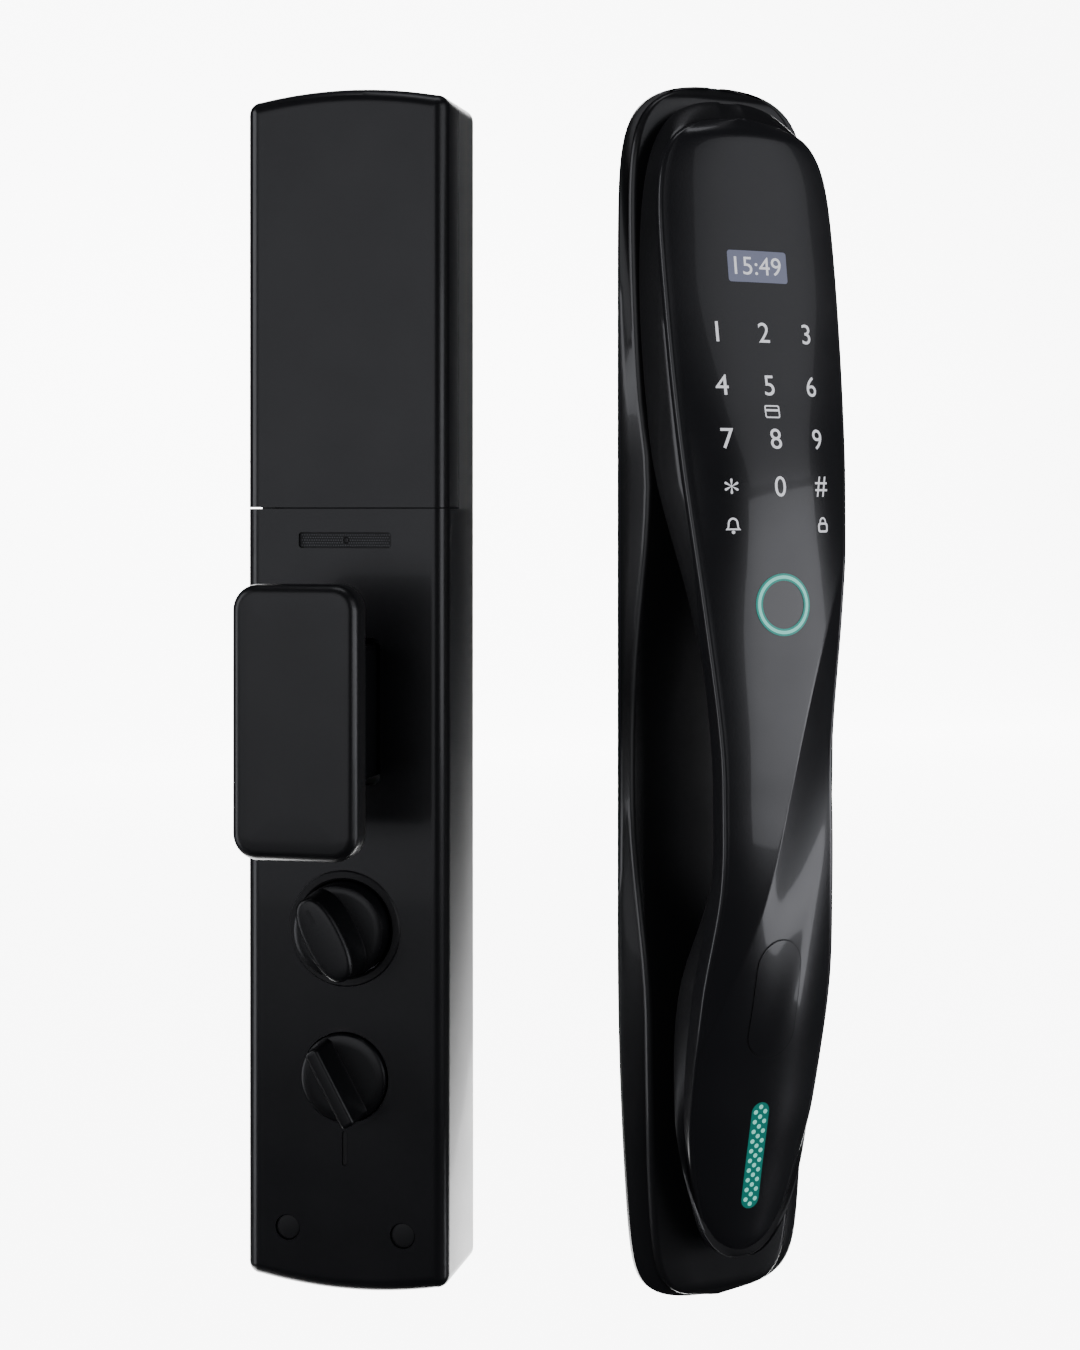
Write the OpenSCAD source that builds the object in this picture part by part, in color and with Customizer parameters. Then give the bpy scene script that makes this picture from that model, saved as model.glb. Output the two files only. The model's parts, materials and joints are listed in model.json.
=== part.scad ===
// Push-pull keypad lock for a door: an outdoor unit and an indoor unit.
// Outdoor unit: door face on y = 0, front towards -Y, +Z up, origin at its mid-height.
// Indoor unit: the same layout in its own axes, set beside the outdoor unit and turned about Z.
// Depths are measured from the door face towards the front of each unit.

/* [Overall] */
// Height of both units
unit_h = 410; // [340:1:500]
// Width of the outdoor base
outdoor_w = 73.4; // [62:0.1:86]
// Depth from the door face to the fullest point of the outdoor handle
handle_reach = 49.2; // [46:0.2:60]
// Width of the indoor unit
indoor_w = 71.6; // [66:0.1:84]
// Depth of the indoor housing
indoor_d = 36; // [34:1:44]

/* [Layout] */
// Turn of the indoor unit about Z
indoor_turn = 39.3; // [0:0.1:60]
// How far the indoor unit stands to the left
indoor_left = 91; // [85:1:180]
// How far the indoor unit stands behind the outdoor door face
indoor_behind = 79.5; // [60:0.5:120]

/* [Shells] */
// Wall of the cast outdoor parts
wall = 1.8; // [1.4:0.1:2.2]
// Thickness of the glossy front cover
cover_t = 3; // [2.4:0.1:3.6]
// Wall of the indoor housing
housing_wall = 2.4; // [1.8:0.1:3]
// Thickness of both rubber gaskets
gasket_t = 1; // [0.8:0.1:1.6]
// Thickness of both steel plates
plate_t = 1.2; // [1:0.1:1.5]

/* [Handle hinge] */
// Radius of the hinge pin
hinge_r = 2.5; // [2:0.1:3]
// Depth of the hinge pin behind the front
hinge_depth = 15.5; // [15:0.5:17]
// Radius of the bush round the pin
bush_r = 4.2; // [3.8:0.1:4.6]

/* [Front features] */
// Width and height of the display window
display_size = [22.5, 10.5]; // [8:0.5:30]
// Radius of the light ring of the fingerprint reader
finger_r = 10.5; // [9:0.5:12]
// Width and height of the oval key cover
key_cover_size = [17.5, 39.5]; // [14:0.5:44]
// Width and height of the status light strip
strip_size = [6, 36]; // [4:0.5:44]

/* [Door fittings] */
// Side of the square outdoor and indoor spindles
spindle_side = 8; // [7:0.5:8]
// Length of the spindles and bolts behind the door face
reach_back = 28; // [20:1:34]
// Outer radius of the threaded posts
post_r = 4; // [3.5:0.1:4.5]
// Radius of the indoor door bolts
bolt_r = 2.5; // [2:0.1:3]

/* [Indoor handle and knobs] */
// Width of the paddle
paddle_w = 42.4; // [38:0.2:46]
// Height of the paddle
paddle_h = 88.4; // [76:0.2:102]
// Thickness of the paddle
paddle_t = 12; // [10:0.5:14]
// Clear gap between the housing and the paddle
paddle_gap = 41; // [34:1:45]
// Radius of the thumb-turn disc
turn_r = 16; // [14:0.2:17]
// Radius of the privacy knob disc
privacy_r = 15; // [13:0.2:16]
// Angle that both knobs lean at rest
knob_lean = 29; // [0:1:45]
// Length of the battery cover, as a part of the unit's height
battery_part = 0.349; // [0.33:0.001:0.36]

/* [Hidden] */
$fn = 48;
// Overrun of cutting tools, so that no cut ends on a face
over = 1;
// Gap between pieces that lie side by side
gap = 0.3;
// Radial clearance of running fits
fit = 0.05;
hh = unit_h / 2;
hw = outdoor_w / 2;
// Steel plate's front face, on which the works are built
plate_front = gasket_t + plate_t;

// ---- profile of the outdoor unit ----
// Rows run from top to bottom. Columns: height, half-width at the front, half-width at the rear,
// front depth, rear depth of the handle, depth of the base. Heights are parts of half the unit's
// height, half-widths of half the base's width, and depths of the handle's reach.
profile = [
    [0.935, 0.850, 0.880, 0.488, 0.160, 0.100],
    [0.780, 0.872, 0.930, 0.569, 0.175, 0.118],
    [0.634, 0.868, 0.945, 0.656, 0.200, 0.150],
    [0.488, 0.846, 0.930, 0.772, 0.262, 0.215],
    [0.351, 0.802, 0.905, 0.898, 0.372, 0.338],
    [0.132, 0.690, 0.736, 0.949, 0.640, 0.235],
    [-0.073, 0.575, 0.608, 0.992, 0.780, 0.150],
    [-0.195, 0.565, 0.592, 1.000, 0.780, 0.150],
    [-0.302, 0.578, 0.606, 0.976, 0.700, 0.155],
    [-0.473, 0.632, 0.722, 0.880, 0.440, 0.209],
    [-0.668, 0.600, 0.715, 0.671, 0.372, 0.193],
    [-0.780, 0.515, 0.630, 0.549, 0.372, 0.167],
    [-0.915, 0.380, 0.470, 0.440, 0.372, 0.152]];
front_w = 1;
rear_w = 2;
front_d = 3;
rear_d = 4;
base_d = 5;

// Smooth curve through one column of the profile
function row_below(f, i = 0) = i >= len(profile) - 2 || f >= profile[i + 1][0] ? i : row_below(f, i + 1);
function column_slope(c, i) =
    let (a = max(0, i - 1), b = min(len(profile) - 1, i + 1))
    (profile[b][c] - profile[a][c]) / (profile[b][0] - profile[a][0]);
function curve(c, f) =
    let (i = row_below(f))
    let (span = profile[i + 1][0] - profile[i][0])
    let (s = (f - profile[i][0]) / span)
    profile[i][c] * (2 * pow(s, 3) - 3 * pow(s, 2) + 1)
    + profile[i + 1][c] * (3 * pow(s, 2) - 2 * pow(s, 3))
    + column_slope(c, i) * span * (pow(s, 3) - 2 * pow(s, 2) + s)
    + column_slope(c, i + 1) * span * (pow(s, 3) - pow(s, 2));
function depth_at(c, z) = handle_reach * curve(c, max(-0.915, min(0.935, z / hh)));

// Rounded end of an outline: 1 in the middle, 0 at u = -1 and u = 1
function end_round(u, sharpness) = pow(max(0, 1 - pow(abs(u), sharpness)), 0.4);
// Steps from 1 to -1 that crowd together towards both ends
function steps(n) = [for (i = [0:n]) let (s = 1 - 2 * i / n) sign(s) * (1 - pow(1 - abs(s), 2.4))];

handle_top = 0.935 * hh;
handle_bottom = -0.915 * hh;
handle_mid = (handle_top + handle_bottom) / 2;
handle_half = (handle_top - handle_bottom) / 2;
// Half-width of the handle: 0 gives the front cover's edge, 1 the shell's rear edge
function handle_half_w(rearward, z, inset) =
    let (f = max(-0.915, min(0.935, z / hh)))
    (hw * (curve(front_w, f) * (1 - rearward) + curve(rear_w, f) * rearward) - inset)
    * end_round((z - handle_mid) / (handle_half - inset), 20);
// The base narrows towards its lower end, which is squarer than the top
function base_taper(z) = 1 - 0.17 * pow(max(0, (-z / hh - 0.4) / 0.6), 2);
function base_half_w(z, inset) =
    (hw * base_taper(z) - inset) * end_round(z / (hh - inset), z > 0 ? 12 : 36);

// Closed outlines in the X-Z plane
function both_sides(side) = concat(side, [for (i = [len(side) - 2:-1:1]) [-side[i][0], side[i][1]]]);
function base_outline(inset) =
    both_sides([for (u = steps(36)) let (z = u * (hh - inset)) [base_half_w(z, inset), z]]);
function handle_outline(rearward, inset) =
    both_sides([for (u = steps(40)) let (z = handle_mid + u * (handle_half - inset))
        [handle_half_w(rearward, z, inset), z]]);
profile_steps = 44;
function heights(from, to) = [for (i = [0:profile_steps]) from + (to - from) * i / profile_steps];
// Closed side profile between two depths, each a column plus an offset
function side_band(c_in, add_in, c_out, add_out, top, bottom) = concat(
    [for (z = heights(top, bottom)) [-(depth_at(c_in, z) + add_in), z]],
    [for (z = heights(bottom, top)) [-(depth_at(c_out, z) + add_out), z]]);

// ---- shape helpers ----
module front_prism(points, from, to) {
    translate([0, -from, 0]) rotate([90, 0, 0]) linear_extrude(to - from) polygon(points);
}
module side_prism(points, width) {
    translate([-width / 2, 0, 0]) rotate([90, 0, 90]) linear_extrude(width) polygon(points);
}
module block(x, depth, z) {
    translate([x[0], -depth[1], z[0]]) cube([x[1] - x[0], depth[1] - depth[0], z[1] - z[0]]);
}
module rod_y(x, z, depth, r) {
    translate([x, -depth[0], z]) rotate([90, 0, 0]) cylinder(h = depth[1] - depth[0], r = r);
}
module rod_x(depth, z, x, r) {
    translate([x[0], -depth, z]) rotate([0, 90, 0]) cylinder(h = x[1] - x[0], r = r);
}
module oval(size, depth, z) {
    spread = (size[1] - size[0]) / 2;
    for (s = [-1, 1]) rod_y(0, z + s * spread, depth, size[0] / 2);
    block([-size[0] / 2, size[0] / 2], depth, [z - spread, z + spread]);
}
module coil(depth, z, x, r, wire, turns) {
    pitch = (x[1] - x[0]) / turns;
    for (i = [0:turns - 1])
        translate([x[0] + pitch * (i + 0.5), -depth, z]) rotate([0, 90, 0])
            rotate_extrude() translate([r, 0]) circle(r = wire, $fn = 20);
}
// Layer of the curved handle front between two depths below its surface
module front_layer(out, inner) {
    side_prism(side_band(front_d, -inner, front_d, -out, handle_top, handle_bottom), outdoor_w);
}
module indoor() {
    translate([-indoor_left, indoor_behind, 0]) rotate([0, 0, -indoor_turn]) children();
}

// ---- places on the outdoor unit ----
hinge_z = 0.859 * hh;
lug_x = [8, 13];
boss_x = [16, 22];
display_z = 0.69 * hh;
finger_z = 0.15 * hh;
key_z = -0.477 * hh;
strip_z = -0.74 * hh;
spindle_z = -0.063 * hh;
post_z = [0.463 * hh, -0.59 * hh];
// Lever work that turns the handle's swing into a turn of the spindle
works_x = 6;
rocker_z = hinge_z - 64;
rocker_depth = plate_front + 17;
rocker_arm = 18;
rocker_tail = 15;
rocker_half = 2;
crank_r = 6.6;
hub_depth = [plate_front + gap, plate_front + 1.7];
rod_depth = [plate_front + 2, plate_front + 3];
stack_depth = plate_front + 3.4;
cylinder_z = key_z - 6;
cylinder_r = 7.5;
plug_r = 4.2;
socket_z = 0.25 * hh;
base_screw_places = [[0, 0.9 * hh], [20, 0.7 * hh], [-20, 0.7 * hh], [0, -0.86 * hh]];
handle_screw_places = [[24, 0.62 * hh], [-24, 0.62 * hh], [9, -0.82 * hh], [-9, -0.82 * hh]];

// The base is never too shallow for the plate or, beside the pull rod, for the lever work
function base_depth(z) =
    max(depth_at(base_d, z), z < rocker_z + 8 ? stack_depth + wall : plate_front + wall + 0.5);
function base_profile(take, top, bottom) = concat(
    [[-gasket_t, top], [-gasket_t, bottom]],
    [for (z = heights(bottom, top)) [-(base_depth(z) - take), z]]);

// ---- outdoor unit: fixed pieces ----
module outdoor_gasket() {
    color("#1b1b1c") difference() {
        front_prism(base_outline(1.2), 0, gasket_t);
        for (z = post_z) rod_y(0, z, [-over, gasket_t + over], post_r + 0.1);
        rod_y(0, spindle_z, [-over, gasket_t + over], 7);
        block([-22, -6], [-over, gasket_t + over], [socket_z - 9, socket_z + 9]);
        for (p = base_screw_places) rod_y(p[0], p[1], [-over, gasket_t + over], 3);
    }
}

module outdoor_plate() {
    color("#8f9296") difference() {
        front_prism(base_outline(wall + 0.8), gasket_t, plate_front);
        for (z = post_z) rod_y(0, z, [0, plate_front + over], post_r - 1);
        rod_y(0, spindle_z, [0, plate_front + over], 7);
        block([-22, -6], [0, plate_front + over], [socket_z - 9, socket_z + 9]);
        for (p = base_screw_places) rod_y(p[0], p[1], [0, plate_front + over], 1.6);
    }
}

module outdoor_base() {
    lug_z = 5;
    color("#17181a") difference() {
        union() {
            difference() {
                intersection() {
                    front_prism(base_outline(0), gasket_t, handle_reach);
                    side_prism(base_profile(0, hh, -hh), outdoor_w + over);
                }
                intersection() {
                    front_prism(base_outline(wall), 0, handle_reach);
                    side_prism(base_profile(wall, hh, -hh), outdoor_w);
                    block([-hw, hw], [gasket_t - over, handle_reach], [-hh, hh]);
                }
                block([-hw + 4, hw - 4], [0, gasket_t + 0.01], [-0.8 * hh, 0.8 * hh]);
            }
            for (s = [-1, 1])
                block(s > 0 ? lug_x : [-lug_x[1], -lug_x[0]],
                      [base_depth(hinge_z) - wall, hinge_depth + 5], [hinge_z - lug_z, hinge_z + lug_z]);
            for (s = [-1, 1])
                block([works_x + (s > 0 ? rocker_half + gap : -rocker_half - gap - 3),
                       works_x + (s > 0 ? rocker_half + gap + 3 : -rocker_half - gap)],
                      [base_depth(rocker_z) - wall, rocker_depth + 4], [rocker_z - 4, rocker_z + 4]);
            for (p = base_screw_places)
                rod_y(p[0], p[1], [plate_front, base_depth(p[1]) - wall / 2], 3.2);
        }
        rod_x(hinge_depth, hinge_z, [-30, 30], hinge_r);
        rod_x(rocker_depth, rocker_z, [works_x - 10, works_x + 10], 1.5);
        block([works_x - rocker_half - gap, works_x + rocker_half + gap],
              [plate_front, rocker_depth + 6], [rocker_z - 7, rocker_z + 7]);
        for (p = base_screw_places) rod_y(p[0], p[1], [0, plate_front + 4], 1.25);
    }
}

module outdoor_base_screws() {
    color("#9a9ca0") for (p = base_screw_places) {
        rod_y(p[0], p[1], [gasket_t - 0.8, gasket_t], 2.8);
        rod_y(p[0], p[1], [gasket_t, plate_front + 3.5], 1.25);
    }
}

module threaded_posts() {
    color("#b8bbc0") for (z = post_z) difference() {
        union() {
            rod_y(0, z, [-reach_back, 0], post_r);
            rod_y(0, z, [0, plate_front + 0.8], post_r - 1);
        }
        rod_y(0, z, [-reach_back - over, -reach_back + 8], 2.1);
    }
}

module outdoor_socket() {
    color("#e6e4dc") difference() {
        block([-20, -8], [0.5, plate_front + 3], [socket_z - 6, socket_z + 6]);
        block([-18, -10], [0, plate_front + 1.4], [socket_z - 4.5, socket_z + 4.5]);
    }
}

module rod_guides() {
    color("#8f9296") for (z = [rocker_z - 24, spindle_z + 24]) difference() {
        block([works_x - 6, works_x + 6], [plate_front, rod_depth[1] + gap], [z - 2.5, z + 2.5]);
        block([works_x - 4 - fit * 4, works_x + 4 + fit * 4], [rod_depth[0] - fit * 4, rod_depth[1] + 2], [z - 4, z + 4]);
    }
}

module hinge_pin() {
    color("#b8bbc0") rod_x(hinge_depth, hinge_z, [-boss_x[1] - 1, boss_x[1] + 1], hinge_r);
}

module hinge_spring() {
    color("#c4c6ca") coil(hinge_depth, hinge_z, [-lug_x[0] + 0.5, lug_x[0] - 0.5], hinge_r + 1.2, 0.6, 9);
}

module rocker_pin() {
    color("#b8bbc0")
        rod_x(rocker_depth, rocker_z, [works_x - rocker_half - gap - 3, works_x + rocker_half + gap + 3], 1.5);
}

// ---- outdoor unit: the handle ----
// Space inside the handle shell
module handle_inside(inset, past_rim) {
    intersection() {
        front_prism(handle_outline(0.5, inset), 0, handle_reach);
        side_prism(side_band(rear_d, inset, front_d, past_rim - cover_t, handle_top, handle_bottom), outdoor_w);
    }
}

module handle_shell() {
    finger_pad_z = rocker_z - rocker_arm;
    color("#141517") difference() {
        union() {
            difference() {
                intersection() {
                    front_prism(handle_outline(0.5, 0), 0, handle_reach + over);
                    side_prism(side_band(rear_d, 0, front_d, -cover_t, handle_top, handle_bottom), outdoor_w);
                }
                handle_inside(wall, over);
                block([-lug_x[1] - 1.5, lug_x[1] + 1.5], [0, hinge_depth + 8], [hinge_z - 8, hinge_z + 8]);
                block([works_x - rocker_half - 5, works_x + rocker_half + 5],
                      [0, rocker_depth + 9], [rocker_z - rocker_arm - 9, rocker_z + 9]);
            }
            for (s = [-1, 1])
                block(s > 0 ? boss_x : [-boss_x[1], -boss_x[0]],
                      [depth_at(rear_d, hinge_z), hinge_depth + 6.5], [hinge_z - 6.5, hinge_z + 6.5]);
            intersection() {
                handle_inside(wall / 2, 0);
                for (p = handle_screw_places) rod_y(p[0], p[1], [0, handle_reach], 3);
            }
            // Fork that carries the end of the rocker
            for (d = [rocker_depth - 4.6, rocker_depth + 2.6])
                block([works_x + rocker_half + gap, works_x + 10], [d, d + 2],
                      [finger_pad_z - 3, finger_pad_z + 3]);
            block([works_x + 7.2, works_x + 10], [depth_at(rear_d, finger_pad_z) + 0.2, rocker_depth + 4.6],
                  [finger_pad_z - 3, finger_pad_z + 3]);
        }
        for (s = [-1, 1]) rod_x(hinge_depth, hinge_z, s > 0 ? [boss_x[0] - 1, boss_x[1] + 1] : [-boss_x[1] - 1, -boss_x[0] + 1], bush_r + fit);
        for (p = handle_screw_places) {
            rod_y(p[0], p[1], [0, handle_reach], 1.3);
            rod_y(p[0], p[1], [0, depth_at(rear_d, p[1]) + 1.4], 2.9);
        }
        rod_y(0, cylinder_z, [0, handle_reach], cylinder_r);
    }
}

module handle_cover() {
    color("#26282b") difference() {
        intersection() {
            front_prism(handle_outline(0, 0), 0, handle_reach + over);
            front_layer(0, cover_t);
        }
        block([-display_size[0] / 2, display_size[0] / 2], [0, handle_reach + over],
              [display_z - display_size[1] / 2, display_z + display_size[1] / 2]);
        rod_y(0, finger_z, [0, handle_reach + over], finger_r);
        oval([key_cover_size[0] + 2 * gap, key_cover_size[1] + 2 * gap], [0, handle_reach + over], key_z);
        block([-strip_size[0] / 2, strip_size[0] / 2], [0, handle_reach + over],
              [strip_z - strip_size[1] / 2, strip_z + strip_size[1] / 2]);
    }
}

module hinge_bushes() {
    color("#dcd8cc") for (s = [-1, 1]) difference() {
        rod_x(hinge_depth, hinge_z, s > 0 ? boss_x : [-boss_x[1], -boss_x[0]], bush_r);
        rod_x(hinge_depth, hinge_z, [-30, 30], hinge_r + fit);
    }
}

board_top = 0.77 * hh;
board_bottom = 0.42 * hh;
module keypad_board() {
    thick = 1.6;
    below = cover_t + 4;
    color("#1f5a38") difference() {
        side_prism([[-(depth_at(front_d, board_top) - below), board_top],
                    [-(depth_at(front_d, board_bottom) - below - 2), board_bottom],
                    [-(depth_at(front_d, board_bottom) - below - 2 - thick), board_bottom],
                    [-(depth_at(front_d, board_top) - below - thick), board_top]], 42);
    }
}

module card_antenna() {
    color("#b06a3a") intersection() {
        front_layer(cover_t + gap, cover_t + gap + 0.5);
        difference() {
            block([-19, 19], [0, handle_reach], [0.47 * hh, 0.65 * hh]);
            block([-16, 16], [-over, handle_reach + over], [0.47 * hh + 3, 0.65 * hh - 3]);
        }
    }
}

module display_window() {
    color("#7f86a2") intersection() {
        front_layer(0.1, cover_t - 0.4);
        block([-display_size[0] / 2, display_size[0] / 2], [0, handle_reach],
              [display_z - display_size[1] / 2, display_z + display_size[1] / 2]);
    }
}

ring_w = 2.5;
module finger_sensor() {
    color("#1c1d20") intersection() {
        front_layer(0.5, cover_t + 1);
        rod_y(0, finger_z, [0, handle_reach], finger_r - ring_w);
    }
}

module finger_ring() {
    color("#5fe0c8") intersection() {
        front_layer(0.1, cover_t);
        difference() {
            rod_y(0, finger_z, [0, handle_reach], finger_r);
            rod_y(0, finger_z, [-over, handle_reach + over], finger_r - ring_w);
        }
    }
}

module light_strip() {
    color("#2fb5a0") intersection() {
        front_layer(0.1, cover_t);
        block([-strip_size[0] / 2, strip_size[0] / 2], [0, handle_reach],
              [strip_z - strip_size[1] / 2, strip_z + strip_size[1] / 2]);
    }
}

module handle_screws() {
    color("#55585c") for (p = handle_screw_places) {
        rear = depth_at(rear_d, p[1]);
        rod_y(p[0], p[1], [rear + 0.4, rear + 1.4], 2.6);
        rod_y(p[0], p[1], [rear + 1.4, depth_at(front_d, p[1]) - cover_t - 0.6], 1.3);
    }
}

cylinder_in = depth_at(rear_d, cylinder_z) + 0.3;
cylinder_out = depth_at(front_d, cylinder_z) - cover_t - 1.5;
module key_cylinder() {
    color("#c9a24a") difference() {
        rod_y(0, cylinder_z, [cylinder_in, cylinder_out], cylinder_r);
        rod_y(0, cylinder_z, [cylinder_in - over, cylinder_out + over], plug_r + fit);
    }
}

module key_cover() {
    color("#101113") intersection() {
        front_layer(0, 1.6);
        oval(key_cover_size, [0, handle_reach + over], key_z);
    }
}

module key_plug() {
    color("#b8923f") difference() {
        union() {
            rod_y(0, cylinder_z, [cylinder_in - 0.2, cylinder_out], plug_r);
            block([-1.6, 1.6], [cylinder_in - 2, cylinder_in - 0.2], [cylinder_z - 4, cylinder_z + 7]);
        }
        block([-0.6, 0.6], [cylinder_out - 8, cylinder_out + over], [cylinder_z - 3.2, cylinder_z + 3.2]);
    }
}

// ---- outdoor unit: lever work ----
module rocker_lever() {
    x = [works_x - rocker_half, works_x + rocker_half];
    color("#a4a7ab") difference() {
        union() {
            rod_x(rocker_depth, rocker_z, x, 4);
            block(x, [rocker_depth - 1.5, rocker_depth + 1.5], [rocker_z - rocker_arm, rocker_z]);
            block(x, [rocker_depth - rocker_tail, rocker_depth], [rocker_z - 1.5, rocker_z + 1.5]);
            rod_x(rocker_depth, rocker_z - rocker_arm, [x[0], x[1] + 4.5], 2);
        }
        rod_x(rocker_depth, rocker_z, [-20, 30], 1.5 + fit);
    }
}

module pull_rod() {
    color("#a4a7ab") difference() {
        block([works_x - 4, works_x + 4], rod_depth, [spindle_z - 4, rocker_z + 7]);
        block([works_x - rocker_half - gap, works_x + rocker_half + gap],
              [0, handle_reach], [rocker_z - 1.9, rocker_z + 1.9]);
        block([crank_r - 2.3, crank_r + 1.6], [0, handle_reach], [spindle_z - 1.5, spindle_z + 1.5]);
    }
}

module outdoor_spindle() {
    color("#b8bbc0") {
        block([-spindle_side / 2, spindle_side / 2], [-reach_back, hub_depth[0]],
              [spindle_z - spindle_side / 2, spindle_z + spindle_side / 2]);
        rod_y(0, spindle_z, hub_depth, 9);
        rod_y(crank_r, spindle_z, [hub_depth[1], rod_depth[1] + 0.2], 1.2);
    }
}

// ---- indoor unit ----
seam_z = hh - battery_part * unit_h;
end_arch = 3;
corner_r = 4.5;
cover_d = 16;
// Housing outline: straight sides, small corner rounds and gently arched ends
function arched_outline(w, h, inset) =
    let (a = w / 2 - inset - corner_r, b = h / 2 - inset - end_arch - corner_r)
    concat(
        [for (i = [0:6]) let (t = 15 * i) [a + corner_r * cos(t), b + corner_r * sin(t)]],
        [for (i = [1:7]) let (x = a * (1 - i / 4)) [x, h / 2 - inset - end_arch * pow(x / a, 2)]],
        [for (i = [0:6]) let (t = 90 + 15 * i) [-a + corner_r * cos(t), b + corner_r * sin(t)]],
        [for (i = [0:6]) let (t = 180 + 15 * i) [-a + corner_r * cos(t), -b + corner_r * sin(t)]],
        [for (i = [1:7]) let (x = -a * (1 - i / 4)) [x, -h / 2 + inset + end_arch * pow(x / a, 2)]],
        [for (i = [0:6]) let (t = 270 + 15 * i) [a + corner_r * cos(t), -b + corner_r * sin(t)]]);
half_in = indoor_w / 2;
slot_z = 0.249 * hh;
slot_size = [33, 5.4];
turn_z = -0.395 * hh;
privacy_z = -0.642 * hh;
mark_z = -0.76 * hh;
plug_z = -0.898 * hh;
plug_x = 20.5;
ring_r = turn_r + 3.8;
// Paddle and its hinge
paddle_z = -0.032 * hh;
pivot_z = paddle_z + 26;
pivot_depth = indoor_d - 10;
neck_x = [-11, 11];
neck_z = [paddle_z - 22, paddle_z + 22];
paddle_back = indoor_d + paddle_gap;
paddle_front = paddle_back + paddle_t;
arm_flange_t = 3;
indoor_spindle_z = paddle_z - 9;
// Battery bay
cell_r = 7.1;
cell_l = 50.5;
bay_mid = (seam_z + hh) / 2 - 2;
bay_half = cell_l + 7;
bay_depth = indoor_d - 20.5;
// Thumb-turn drive
gear_teeth = 30;
pinion_teeth = 12;
gear_module = 1;
gear_depth = [12, 16];
gear_centres = (gear_teeth + pinion_teeth) / 2 * gear_module + 0.35;
pinion_angle = 52;
pinion_x = gear_centres * cos(pinion_angle);
pinion_z = turn_z + gear_centres * sin(pinion_angle);
shaft_r = 4;
tail_side = 5;

// Holes that the indoor gasket and plate share
module back_holes(depth, bolt_hole_r) {
    for (z = post_z) rod_y(0, z, depth, bolt_hole_r);
    rod_y(0, indoor_spindle_z, depth, 7);
    rod_y(0, turn_z, depth, 5.5);
    rod_y(0, privacy_z, depth, 5.5);
    block([-24, -8], depth, [seam_z - 16, seam_z - 2]);
    for (s = [-1, 1]) rod_y(s * plug_x, plug_z, depth, 1.6);
}

module indoor_gasket() {
    color("#1b1b1c") indoor() difference() {
        front_prism(arched_outline(indoor_w, unit_h, 1), 0, gasket_t);
        back_holes([-over, gasket_t + over], bolt_r + 0.1);
    }
}

module indoor_plate() {
    color("#8f9296") indoor() difference() {
        front_prism(arched_outline(indoor_w, unit_h, housing_wall + 0.6), gasket_t, plate_front);
        back_holes([0, plate_front + over], bolt_r - 0.3);
    }
}

module indoor_housing() {
    inner_half = half_in - housing_wall;
    lower_outline = arched_outline(indoor_w, unit_h, 0);
    color("#222325") indoor() difference() {
        union() {
            difference() {
                union() {
                    front_prism(lower_outline, gasket_t, indoor_d - cover_d);
                    intersection() {
                        front_prism(lower_outline, gasket_t, indoor_d);
                        block([-half_in, half_in], [0, indoor_d], [-hh, seam_z]);
                    }
                }
                intersection() {
                    front_prism(arched_outline(indoor_w, unit_h, housing_wall), 0, indoor_d - housing_wall);
                    block([-half_in, half_in], [0, indoor_d], [-hh, seam_z - housing_wall]);
                }
                intersection() {
                    front_prism(arched_outline(indoor_w, unit_h, housing_wall), 0, bay_depth - housing_wall);
                    block([-half_in, half_in], [0, indoor_d], [seam_z - housing_wall - over, hh]);
                }
                block([-30.5, 30.5], [bay_depth, indoor_d], [bay_mid - bay_half, bay_mid + bay_half]);
            }
            for (s = [-1, 1]) rod_y(s * plug_x, plug_z, [plate_front, indoor_d - housing_wall / 2], 6);
            for (s = [-1, 1])
                block(s > 0 ? [15, 19] : [-19, -15], [pivot_depth - 5, indoor_d - housing_wall / 2],
                      [pivot_z - 5, pivot_z + 5]);
            for (s = [-1, 1])
                block(s > 0 ? [24, inner_half + 0.5] : [-inner_half - 0.5, -24], [24, indoor_d - housing_wall / 2],
                      [turn_z - 4, turn_z + 4]);
        }
        for (s = [-1, 1]) {
            rod_y(s * plug_x, plug_z, [plate_front + 4, indoor_d + over], 4.3);
            rod_y(s * plug_x, plug_z, [0, plate_front + 5], 1.6);
        }
        rod_x(pivot_depth, pivot_z, [-25, 25], 2);
        block([neck_x[0] - 1.5, neck_x[1] + 1.5], [indoor_d - 4, indoor_d + over], [neck_z[0] - 3.5, neck_z[1] + 2.5]);
        rod_y(0, turn_z, [indoor_d - 6, indoor_d + over], ring_r);
        rod_y(0, privacy_z, [indoor_d - 6, indoor_d + over], privacy_r + 0.5);
        block([-0.95, 0.95], [indoor_d - 0.8, indoor_d + over], [mark_z - 5.9, mark_z + 5.9]);
        block([-slot_size[0] / 2, slot_size[0] / 2], [indoor_d - 6, indoor_d + over],
              [slot_z - slot_size[1] / 2, slot_z + slot_size[1] / 2]);
    }
}

module housing_screws() {
    color("#9a9ca0") indoor() for (s = [-1, 1]) {
        rod_y(s * plug_x, plug_z, [plate_front + 4, plate_front + 7], 3.8);
        rod_y(s * plug_x, plug_z, [0.2, plate_front + 4], 1.6);
    }
}

module screw_plugs() {
    color("#0b0b0c") indoor() for (s = [-1, 1]) rod_y(s * plug_x, plug_z, [indoor_d - 5, indoor_d - 0.6], 4.3);
}

module door_bolts() {
    color("#b8bbc0") indoor() for (z = post_z) {
        rod_y(0, z, [-reach_back, 0], bolt_r);
        rod_y(0, z, [0, plate_front], bolt_r - 0.3);
        rod_y(0, z, [plate_front, plate_front + 3], 4.5);
    }
}

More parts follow.
